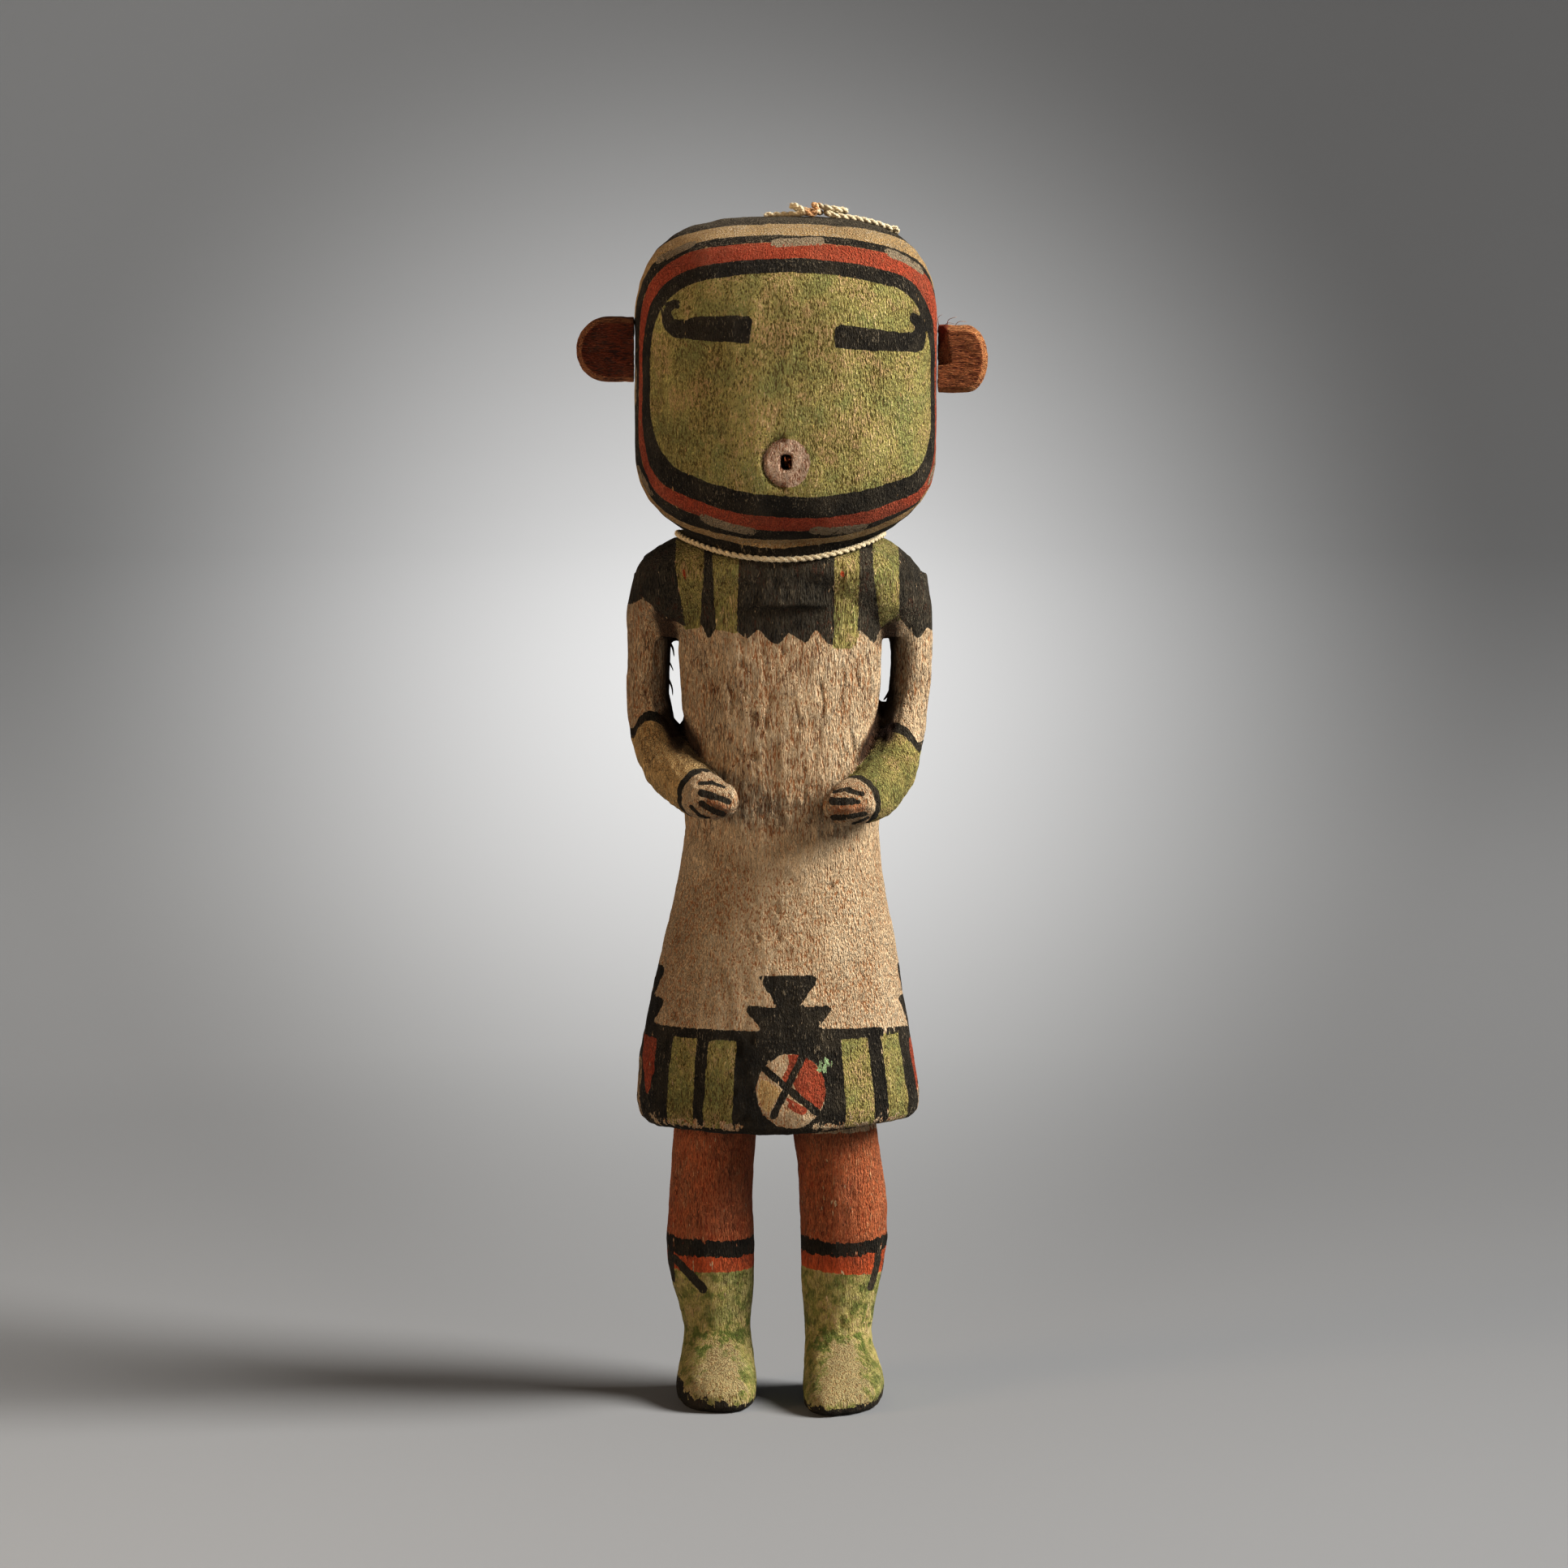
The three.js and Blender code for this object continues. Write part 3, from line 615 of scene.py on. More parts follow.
# The carved figure
figureSettings = {
    "voxel": 0.55, "draftVoxel": 1.3, "smoothRounds": 60, "armHold": 0.22, "triangles": 192000,
    "waviness": 0.28, "streaks": 0.17, "crackDepth": 0.5, "pitDepth": 0.45, "settle": 0.12, "crownRise": 0.4,
}
holePlace = {"x": 1.2, "z": 252.7, "clear": 4.5}

# split grain on the chest: x, lowest z, highest z, half-width
chestCracks = [
    (4.2, 176, 190, 0.35), (10.6, 182, 197, 0.35), (16.0, 186, 199, 0.35), (-3.6, 180, 192, 0.35), (18.6, 173, 182, 0.35),
    (-13.5, 184, 196, 0.35), (5.8, 161, 167, 0.35), (20.2, 191, 200, 0.35),
]
# torn slivers on the inner side of the arms: root, middle, tip, thickness
armSplinters = [
    ([(-29.9, 0.2, 207.5), (-29.0, 0.0, 206.4), (-28.2, -0.3, 204.4)], 0.9),
    ([(-30.0, 0.0, 203.2), (-28.9, -0.2, 201.4), (-28.5, -0.4, 199.0)], 1.0),
    ([(-30.1, 0.4, 198.0), (-29.3, 0.3, 196.6), (-28.7, 0.0, 195.2)], 0.7),
    ([(-30.0, 0.2, 193.0), (-29.1, 0.0, 190.8), (-28.9, -0.2, 188.6)], 0.8),
    ([(28.9, -0.6, 190.2), (27.9, -1.0, 188.6), (27.0, -1.6, 187.6)], 1.1),
    ([(29.0, -0.4, 188.4), (27.8, -0.8, 186.6), (27.3, -1.2, 185.4)], 0.9),
]

armRoutes = {
    "left": [(-33.6, 0.6, 221), (-34.6, 0.8, 212), (-35.3, 0.8, 200), (-35.6, 0.2, 189), (-34.1, -2.6, 179.4),
             (-29.6, -10.4, 171.3), (-24.2, -19.4, 166.6), (-20.4, -25.4, 165)],
    "right": [(33, 0.6, 221), (33.9, 0.8, 212), (34.4, 0.8, 200), (33.8, 0, 188), (31.6, -3.4, 178.6),
              (28.5, -11.2, 169.6), (23.9, -19.8, 165), (20, -25.4, 163.6)],
}
armReach = {"upper": 10.2, "fore": 8.1}     # a point this near to the arm's line is on the arm
armGroove = {"depth": 1.6, "start": 8.0, "width": 5.0}      # cut into the body beside the arms


def armPlaces(points, side):
    # how far along the arm each point lies, from the elbow station, how far off its line, and its direction from there
    route = smoothRoute([Vector(place) for place in armRoutes[side]], 12)
    line = np.array([tuple(place) for place in route])
    run = np.concatenate([[0], np.cumsum(np.linalg.norm(np.diff(line, axis=0), axis=1))])
    run -= run[4 * 12]
    along = np.full(len(points), -99.0)
    off = np.full(len(points), 99.0)
    away = np.zeros((len(points), 3))
    near = np.flatnonzero((np.sign(line[0, 0]) * points[:, 0] > 9) & (points[:, 2] > 150) & (points[:, 2] < 226))
    if len(near):
        start, end = line[:-1], line[1:]
        step = end - start
        from_ = points[near][:, None, :] - start[None]
        share = np.clip((from_ * step).sum(2) / (step * step).sum(1), 0, 1)
        gaps = from_ - share[:, :, None] * step
        gap = np.linalg.norm(gaps, axis=2)
        best = gap.argmin(1)
        rows = np.arange(len(near))
        off[near] = gap[rows, best]
        away[near] = gaps[rows, best] / gap[rows, best][:, None]
        past = ((points[near] - line[-1]) @ (line[-1] - line[-4])) / np.linalg.norm(line[-1] - line[-4])
        atEnd = best == len(line) - 2
        reached = run[best] + share[rows, best] * np.linalg.norm(step, axis=1)[best]
        along[near] = np.where(atEnd & (past > 0), run[-1] + past, reached)
    return along, off, run[-1], away


def armCleft(points, normals, side):
    # 1 on the body right beside an arm, fading to 0
    along, off, end, away = armPlaces(points, side)
    offArm = np.clip((0.55 - (normals * away).sum(1)) / 0.3, 0, 1)
    beside = np.clip(1 - (off - armGroove["start"]) / armGroove["width"], 0, 1)
    return beside * offArm * np.clip((along + 34) / 8, 0, 1) * np.clip((end - 8 - along) / 7, 0, 1)


def carveFigure(points, normals):
    # how far each point of the bare form moves along its normal, in mm
    x, y, z = points.T
    s = figureSettings
    move = s["waviness"] * latticeNoise(points, (8, 8, 11), 1) - s["settle"]
    move += 0.5 * s["waviness"] * latticeNoise(points, (4, 4, 7), 2)
    onBody = np.clip((232 - z) / 3, 0, 1)
    move += s["crownRise"] * np.clip((z - 302) / 10, 0, 1)
    streak = latticeNoise(points, (1.3, 1.3, 6), 3) + 0.7 * latticeNoise(points, (1.1, 1.1, 3), 4)
    dapple = latticeNoise(points, (1.3, 1.3, 2.2), 5)
    onChest = np.clip((z - 148) / 12, 0, 1) * onBody
    move += s["streaks"] * (streak * (0.35 + 0.65 * onChest) + dapple * (0.8 - 0.4 * onChest)) * (0.5 + 0.5 * onBody)
    facing = np.clip(-normals[:, 1] * 2 - 0.3, 0, 1)
    for crackX, low, high, half in chestCracks:
        bent = x - crackX - 0.5 * np.sin((z - low) * 0.5 + crackX)
        ends = np.clip((z - low) / 2.5, 0, 1) * np.clip((high - z) / 2.5, 0, 1)
        move -= s["crackDepth"] * ends * facing * np.exp(-(bent / half) ** 2) * (y < -8)
    for side in ("left", "right"):
        move -= armGroove["depth"] * armCleft(points, normals, side)
    # chewed patch under the hands
    chewed = np.exp(-(((x - 2) / 17) ** 2) - ((z - 160) / 7) ** 2) * facing
    move += chewed * (0.42 * latticeNoise(points, (1.5, 1.5, 2.6), 6) - 0.15)
    pits = latticeNoise(points, (2.4, 2.4, 3.4), 8)
    move -= s["pitDepth"] * np.clip((pits - 0.62) * 3.5, 0, 1) * onBody
    # shallow furrows between the fingers
    fingers = np.exp(-(np.maximum(strokes(x, z, handStrokes), 0) / 0.9) ** 2)
    move -= 0.4 * fingers * (y < -24.5)
    # the round scar where the snout was: a shallow dish with raised lumps and a cut along its left side
    scar = np.hypot(x - 1.3, (z - 252.4) * 0.97) - 6.1
    onFace = (y < -20) & (scar < 3)
    dish = np.clip(-scar / 1.2, 0, 1)
    lumps = 0.2 * latticeNoise(points, (0.9, 0.9, 2.4), 9) - 0.1
    cut = -0.9 * np.exp(-(scar / 0.55) ** 2) * (x < 1.3)
    keepHole = np.clip((np.hypot(x - 1.2, z - 252.7) - 2.2) / 1.2, 0, 1)
    move += np.where(onFace, (dish * lumps + cut) * keepHole, 0)
    # small dent in the skirt
    move -= 0.9 * np.exp(-((x + 28.6) ** 2 + (z - 105.6) ** 2) / 0.7) * (y < 0)
    inHole = (np.abs(x - 1.2) < 2.1) & (np.abs(z - 252.7) < 2.6) & (y < -15)
    return np.where(inHole, 0, move)


print("strings and helpers ready")


# Painted pattern. The head's rings lie on a flat plan of the face, rolled out from its front
facePlan = {"x": 1.8, "z": 272.0, "shear": 0.06}
headRings = {
    "panel": {"sides": (-53, 59, -29, 32), "corners": (25, 25, 20, 20)},
    "innerBlack": {"sides": (-59.3, 64.4, -36.5, 37.3), "corners": (28, 28, 20, 20)},
    "redBand": {"sides": (-63, 71.5, -42.6, 44.8), "corners": (30, 24, 22, 22)},
    "outerBlack": {"sides": (-70, 76, -47.5, 48.9), "corners": (30, 30, 30, 30)},
    "tanBand": {"sides": (-80, 84, -52.3, 58.5), "corners": (30, 30, 30, 30)},
    "plainBehind": 12.0,
}
eyes = [
    [(-9.5, 19), (-10.5, 12), (-22.5, 13.5), (-37.5, 16), (-42, 18.5), (-44, 22.5), (-43.5, 25), (-40.5, 27.5),
     (-39, 28.5), (-35, 27.5), (-34.5, 26), (-35.5, 25), (-38, 25.5), (-39.5, 24), (-38, 22), (-32, 21),
     (-29.5, 21.5)],
    [(13.5, 17.5), (12.5, 15.5), (13, 11), (19, 11), (32.5, 11.5), (47, 12), (52, 13.5), (54, 18), (53, 23),
     (49, 25.5), (44.5, 26), (42.5, 25), (42.5, 22.5), (45, 21.5), (46, 20.5), (45.5, 19), (38.5, 18), (24.5, 17.5)],
]
greyBlocks = [
    ((-48.7, 47), (-34.3, 49)), ((-3.4, 44.5), (9.4, 46.1)), ((35, 45.6), (51.7, 44.4)), ((-25.9, -41.4), (-11.5, -43.3)),
    ((8.4, -43.1), (23.6, -45.6)), ((-61.8, -36.2), (-53.1, -41.2)), ((-68, -8), (-68.5, 6)), ((74.2, -12), (74.2, 3)),
    ((58, -40), (67, -33)),
]
greyBlockHalf = 2.2

capeOutline = [
    (-50, 240), (-50, 212), (-40.2, 213.1), (-37, 215.2), (-34.8, 214.5), (-32.7, 211.6), (-30.1, 209.6), (-28, 209.5),
    (-25.2, 208.3), (-21.5, 209), (-20.4, 208.4), (-19.4, 205.3), (-18.1, 206.4), (-17.2, 208.8), (-11.7, 207.9),
    (-10.8, 206.8), (-8.9, 205.6), (-6.1, 208.6), (-4, 206), (-1, 203.9), (1.9, 207.3), (6.4, 204.5), (9.1, 208.5),
    (12.1, 204.4), (13.8, 203.8), (18.5, 203.6), (20.4, 208), (24.4, 203.7), (26.1, 207.4), (27.6, 208.6), (31, 210.7),
    (33.6, 207.2), (36.2, 204.3), (38.6, 207.5), (41, 205), (50, 206), (50, 240),
]
capeGreens = [
    [(-27.8, 240), (-27.8, 224), (-25.2, 208.1), (-21.5, 208.8), (-20.3, 224), (-20.3, 240)],
    [(-18, 240), (-18, 224), (-17.2, 208.6), (-11.7, 207.7), (-11.2, 224), (-11.2, 240)],
    [(13.8, 240), (13.8, 203.6), (18.5, 203.4), (20, 207), (20.4, 224), (20.4, 240)],
    [(24, 240), (24, 224), (26, 208), (31, 210.4), (30.9, 224), (30.9, 240)],
]
capeFlecks = [((-25.6, 223.5), (-25.2, 221.5), 0.35), ((-18.8, 226.8), (-18.5, 225.4), 0.3), ((15.8, 223.4), (16.1, 222.2), 0.35)]

# the dress border runs round the hem: degrees from the front, turned into mm by hemMm
hemMm = 0.62
borderLine = {"degrees": (-180, -80, -39, -7, 19, 50, 84, 180), "height": (101.4, 101.4, 102, 102, 102.4, 101.9, 99.9, 101.4)}
borderGreens = [
    ((-55.3, -41.6), (-58.1, -43.5)), ((-35.7, -21.9), (-38.1, -23.5)), ((32.9, 47.4), (34.2, 49.3)),
    ((55.1, 68), (57.5, 71)), ((122, 137), (120, 136)), ((143, 157), (142, 157)), ((-157, -143), (-158, -142)),
    ((-136, -122), (-137, -121)),
]
borderWedges = [
    [(-86, 98.5), (-66, 98.9), (-66, 91), (-68, 85.6), (-71, 83.2), (-74, 88.1), (-81, 93.8)],
    [(-94, 98.5), (-113, 98.6), (-113, 90), (-110, 83.5), (-105, 88.5), (-99, 93.8)],
    [(80, 97.6), (80, 84), (83, 80.8), (88, 86), (94, 91.5), (100, 97)],
    [(103, 97), (116, 97.4), (116, 84), (113, 81), (109, 87), (105, 92)],
]
steppedMotif = [
    (-6.3, 117.3), (9.4, 117.4), (9.2, 115.5), (4.6, 109.3), (13.2, 109.2), (12.9, 107.6), (8, 101.6), (-3.8, 101.6),
    (-9.9, 108.6), (-10.4, 109.5), (-1, 109.1),
]
motifTurns = (0, -88, 88, 180)      # degrees round the hem
roundel = {"x": 2.5, "z": 87.1, "halfWidth": 9.1, "halfHeight": 9.9, "armHalf": 0.95,
           "arms": [((-4.6, 93.0), (9.9, 81.0)), ((5.9, 97.0), (-2.2, 80.6))],
           "spot": (11.2, 93.6, 2.1)}
roundelRed = [
    [(6.1, 96.1), (8.5, 94), (11.3, 90.5), (11.3, 85.9), (10, 82.6), (8.7, 82.6), (3.4, 88.7), (4.6, 91.2)],
    [(1.2, 89.5), (4.4, 94.4), (4.9, 97), (2.2, 97), (2.6, 94.2), (0.6, 90.8)],
    [(1.4, 84.9), (6.4, 82.2), (5.6, 81.2), (3.4, 82.2), (2, 83.4)],
]
roundelOchre = [(-5.2, 90.5), (0.2, 87.7), (-3.4, 81.2), (-4.7, 82), (-6.3, 86.1), (-6.3, 88.7)]

legs = {
    "middles": (-17.2, 16.2), "x": (-29, -17, -6, 6, 17, 28), "garterTop": (44.3, 43.6, 43.5, 44.0, 43.0, 44.2),
    "garterFoot": (39.4, 39.4, 38.6, 39.7, 39.4, 40.4), "bootTop": (35.2, 35.2, 35.0, 35.6, 34.6, 33.9),
    "hemZ": 74.6, "creaseZ": 18.0, "creaseHalf": 1.6,
    "soleX": (-29, -27, -24, -17.8, -10.3, -6, 5.8, 7.9, 16.5, 23, 26.8, 28),
    "soleTop": (7.6, 6.9, 3.9, 3.2, 2.6, 2.4, 3.2, 2.4, 2.2, 3.0, 3.8, 4.0),
}
legTies = [
    ((-28.6, 38.2), (-24.5, 34.4), 1.1), ((-24.5, 34.4), (-21, 30.7), 1.25), ((-29.8, 38.9), (-29.2, 31.9), 0.8),
    ((26, 41), (25.4, 36.1), 0.9), ((25.4, 36.1), (23.9, 30.4), 0.9), ((28.6, 39.5), (26.9, 30.4), 0.7),
]
creamFeet = [
    [(-19, 17.5), (-14.5, 17), (-11.5, 12), (-9.4, 6), (-9.6, 2), (-24.5, 2), (-25, 6), (-22.5, 10), (-20.8, 14)],
    [(13.5, 18), (18.5, 18), (21.5, 13), (24, 7), (23, 2), (8.6, 2), (8.4, 5), (10, 11), (12, 15)],
]
armBands = {
    "left": [(-39.1, 179.3), (-37.8, 182.4), (-35.8, 184.2), (-33.2, 184.0), (-31.1, 182.4), (-29.4, 180.2)],
    "right": [(26.8, 179.9), (28.5, 181.2), (30.4, 181.3), (32.8, 180.1), (34.9, 177.9), (36, 175.9)],
    "half": 1.05, "wristHalf": 1.15, "wristBack": {"left": 1.8, "right": 0.2},
}
handStrokes = [
    ((-21.3, 168.6), (-18.2, 168.9), 0.45), ((-18.2, 168.9), (-14.9, 167.8), 0.35), ((-20.8, 166.2), (-17.4, 165.5), 0.95),
    ((-17.4, 165.5), (-13.9, 164.0), 0.75), ((-20.9, 163.6), (-18.4, 161.9), 0.8), ((-18.4, 161.9), (-15.3, 160.6), 0.85),
    ((-23.7, 162.6), (-21.4, 160.2), 0.5), ((-21.4, 160.2), (-18.9, 159.2), 0.45), ((13.7, 166.4), (16.9, 167.1), 0.45),
    ((16.9, 167.1), (21.0, 165.9), 0.65), ((13.3, 164.1), (18.6, 164.2), 1.0), ((18.6, 164.2), (20.0, 163.9), 0.6),
    ((13.6, 159.8), (16.9, 160.0), 0.85), ((16.9, 160.0), (21.8, 160.7), 0.75), ((18.9, 158.0), (22.7, 159.4), 0.4),
]
armPitShades = [((-31.2, 210.8), (-29.6, 206), 1.2), ((-30, 184), (-27.5, 178), 1.0), ((28.6, 210.5), (28.4, 204), 1.0),
           ((28.2, 190), (27.6, 179.5), 0.9)]      # painted shade in the corners between arms and body
fingerStains = [((-18.6, 163.8), (-14.9, 162.2), 1.0), ((14.4, 162.1), (20.6, 162.3), 1.3)]     # worn brown knuckles


def brushed(tree, place, table):
    # distance in mm to the nearest of some strokes, worked out in the shader so that thin ones stay crisp
    nearest = 9.0
    for start, end, half in table:
        inputs = {"Vector": place, "Start": (start[0], 0, start[1]), "End": (end[0], 0, end[1]), "Half": half}
        stroke = addNode(tree, "ShaderNodeGroup", inputs, node_tree=strokeGroup).outputs[0]
        nearest = calc(tree, "MINIMUM", nearest, stroke)
    return nearest


def strokes(x, z, table):
    return union(*(strokeDistance(x, z, start, end, half) for start, end, half in table))


def polygons(x, z, table):
    return union(*(polygonDistance(x, z, corners) for corners in table))


def paintFigure(points, normals):
    x, y, z = points.T
    faceX, faceZ = x - facePlan["x"], z - facePlan["z"]
    reach = np.maximum(np.hypot(faceX, faceZ), 0.01)
    rolled = (reach + np.maximum(y + head["front"], 0)) / reach
    u, v = faceX * rolled, faceZ * rolled
    sheared = v + np.where(v < 0, facePlan["shear"] * u, 0)
    offHead = head["chinZ"] + 0.8 + head["chinDrop"] * np.minimum(y, 0) / head["front"] - z
    offHead = np.where((normals[:, 2] > 0.12) & (z < 240), 3.0, offHead)     # the shoulders rise past the chin
    panel, innerBlack, redBand = (roundedBoxDistance(u, sheared, headRings[name])
                                  for name in ("panel", "innerBlack", "redBand"))
    outerBlack, tanBand = (roundedBoxDistance(u, v, headRings[name]) for name in ("outerBlack", "tanBand"))
    grey = union(*(strokeDistance(u, v, start, end, greyBlockHalf) for start, end in greyBlocks))
    scar = overlap(np.hypot(x - 1.3, (z - 252.4) * 0.97) - 6.1, y + 20)
    hole = overlap(np.abs(x - 1.2) - 1.5, np.abs(z - 252.7) - 2.0, y + 15)
    behind = headRings["plainBehind"] - y       # the back of the head is plain black
    headBlack = union(overlap(innerBlack, -panel), polygons(u, v, eyes), overlap(outerBlack, -redBand), -tanBand, behind)
    headBlack = overlap(headBlack, offHead)
    headRed = overlap(redBand, -innerBlack - 0.7, offHead)
    headGreen = overlap(panel - 0.7, offHead)
    onBody = -offHead

    cape = polygonDistance(x, z, capeOutline)
    capeGreen = polygons(x, z, capeGreens)
    capeBlack = overlap(cape, -capeGreen, onBody)

    degrees = np.degrees(np.arctan2(x + 0.9, -y))
    hemX = degrees * hemMm
    onDress = overlap(legs["hemZ"] - z, z - 125)
    line = np.interp(degrees, borderLine["degrees"], borderLine["height"]) + 0.9
    greens = [[(top[0] * hemMm, 100.2), (top[1] * hemMm, 100.2), (low[1] * hemMm, 76.8), (low[0] * hemMm, 76.8)]
              for top, low in borderGreens]
    wedges = [[(turn * hemMm, height) for turn, height in wedge] for wedge in borderWedges]
    borderGreen = overlap(polygons(hemX, z, greens), onDress)
    borderRed = overlap(polygons(hemX, z, wedges), onDress)
    nearX = (x - roundel["x"]) / roundel["halfWidth"]
    nearZ = (z - roundel["z"]) / roundel["halfHeight"]
    disc = overlap((np.hypot(nearX, nearZ) - 1) * 9.5, y + 10)
    discRed = overlap(polygons(x, z, roundelRed) - 0.4, disc)
    discOchre = overlap(polygonDistance(x, z, roundelOchre), disc)
    motifs = []
    for turn in motifTurns:
        shifted = ((degrees - turn + 180) % 360 - 180) * hemMm - 0.6
        motifs.append(polygonDistance(shifted if turn else x, z, steppedMotif) + np.where((turn == 0) & (y > 0), 50, 0))
    underGreens = overlap(np.abs(z - 77.4) - 0.9, np.abs(np.abs(degrees) - 44) - 26)
    bareHem = union(underGreens, overlap(z - 92, degrees + 80.5, -degrees - 99), overlap(z - 84, 82 - degrees, degrees - 90))
    bareHem = overlap(bareHem, 76.2 - z)
    inBorder = overlap(z - line, -borderGreen, -borderRed, -disc)
    dressBlack = overlap(union(inBorder, *motifs), onDress)

    onLegs = z - legs["hemZ"]
    top, foot, boot = (np.interp(x, legs["x"], legs[name]) for name in ("garterTop", "garterFoot", "bootTop"))
    sole = np.interp(x, legs["soleX"], legs["soleTop"])
    garter = overlap(z - top, foot - z)
    terracotta = overlap(onLegs, foot - 1 - z)
    orange = overlap(z - foot - 1, boot - z)
    boots = z - boot
    bareTop = overlap(72.8 - z, 7 - x, onLegs)
    cream = overlap(polygons(x, z, creamFeet), y + 9 + np.maximum(z - 6, 0) * 0.25)
    soles = z - sole - 0.8 * np.clip((y + 12) / 8, 0, 1)
    crease = np.abs(z - legs["creaseZ"] - 0.25 * (y + 8)) - legs["creaseHalf"]

    ochres, greensOnArm = [], []
    armMask, cleft = np.zeros((2, len(points)))
    elbow, wristAway, armEdge = np.full((3, len(points)), 8.0)
    for side in ("left", "right"):
        along, off, end, away = armPlaces(points, side)
        onArm = off - np.where(along > 0, armReach["fore"], armReach["upper"])
        onArm = np.maximum(onArm, (0.3 - (normals * away).sum(1)) * 6)
        bandX, bandZ = zip(*armBands[side])
        level = np.where(normals[:, 1] < 0.1, np.interp(x, bandX, bandZ), np.interp(x, bandX[::5], bandZ[::5]))
        below = 0.8 * (z - level)
        wrist = along - end + armBands["wristBack"][side]
        here = x < 0 if side == "left" else x > 0
        elbow = np.where(here & (along > -8), below, elbow)
        wristAway = np.where(here, wrist, wristAway)
        armEdge = np.where(here, onArm, armEdge)
        # painted shade on the inner side of each arm, beside the body
        innerArmShade = np.clip(-away[:, 0] * np.sign(x) - 0.35, 0, 1) * np.clip((8.5 - off) / 1, 0, 1)
        innerArmShade *= np.clip((along + 40) / 8, 0, 1) * np.clip((end - 14 - along) / 8, 0, 1)
        cleft = np.maximum(cleft, np.maximum(armCleft(points, normals, side), innerArmShade))
        (ochres if side == "left" else greensOnArm).append(overlap(below, wrist, onArm, -6 - along))
        armMask = np.maximum(armMask, np.clip(-onArm / 2, 0, 1) * (along > -6))
    flecks = overlap(strokes(x, z, capeFlecks), onBody, y)
    near = {
        "black": union(headBlack, capeBlack, dressBlack),
        "sole": union(soles, garter * 2.2),
        "green": union(headGreen, overlap(capeGreen - 0.6, onBody), borderGreen - 0.6, boots - 0.4, *greensOnArm),
        "red": union(headRed, borderRed - 0.6, discRed - 0.1),
        "terracotta": overlap(terracotta, -bareTop),
        "orange": union(orange, flecks),
        "ochre": union(*ochres, discOchre),
        "grey": overlap(grey, offHead, -behind),
        "cream": overlap(cream, 1.5 - z),
        "mint": np.hypot(x - roundel["spot"][0], z - roundel["spot"][1]) - roundel["spot"][2] + np.where(y < 0, 0, 50),
        "scar": scar,
        "hole": hole,
        "crease": crease,
        "bareHem": bareHem,
        "elbow": elbow,
        "wrist": wristAway,
        "armEdge": armEdge,
    }
    values = {name: np.clip(distance, -8, 8) for name, distance in near.items()}
    values["onHead"] = np.clip(0.5 - offHead, 0, 1)
    values["onBoots"] = np.clip((38 - z) / 3, 0, 1)
    values["onChest"] = np.clip((z - 140) / 20, 0, 1) * np.clip((offHead + 1) / 2, 0, 1) * (1 - 0.5 * armMask)
    values["onChest"] += np.clip((76 - z) / 2, 0, 1) * np.interp(z, (30, 40), (0.4, 0.8))
    values["relief"] = carveFigure(points, normals)
    # painted shade in the arm pits, joined with the painted shade in the creases beside the arms
    pitShade = np.exp(-(np.maximum(strokes(x, z, armPitShades), 0) / 1.6) ** 2) * (y < 4) * (normals[:, 1] < 0.3)
    values["cleft"] = np.maximum(cleft, 0.6 * pitShade * np.clip(cape + 1, 0, 1))
    return values


figureColours = {
    "wood": (206, 182, 150), "woodValley": (150, 104, 66), "woodPeak": (228, 210, 182),
    "headWood": (190, 160, 114), "headValley": (140, 100, 62),
    "green": (168, 158, 98), "greenValley": (90, 76, 32), "greenPeak": (222, 198, 148), "greenBlue": (138, 144, 84),
    "greenDeep": (94, 106, 48),
    "terracotta": (178, 106, 68), "terraValley": (128, 56, 28), "terraPeak": (214, 166, 126),
    "orange": (190, 92, 50), "orangeValley": (146, 58, 32), "orangePeak": (208, 128, 88),
    "red": (172, 82, 54), "redValley": (128, 50, 30), "redPeak": (190, 108, 74),
    "ochre": (208, 178, 128), "ochreValley": (156, 120, 74), "ochrePeak": (200, 176, 128),
    "cream": (172, 158, 118), "creamValley": (124, 92, 56), "creamPeak": (206, 184, 140),
    "grey": (158, 142, 118), "greyValley": (116, 98, 76), "greyPeak": (190, 172, 146),
    "mint": (158, 186, 140), "mintPeak": (198, 212, 176),
    "scar": (212, 184, 162), "scarValley": (140, 98, 74), "scarPeak": (238, 218, 200),
    "black": (68, 62, 51), "darkBlack": (38, 33, 25), "blackValley": (22, 18, 12), "blackPeak": (134, 122, 102),
    "crack": (96, 48, 26),
    # deep brown for the painted shade in the creases and arm pits
    "cleft": (58, 32, 16), "knuckle": (150, 86, 46), "rubbed": (190, 156, 118),
}


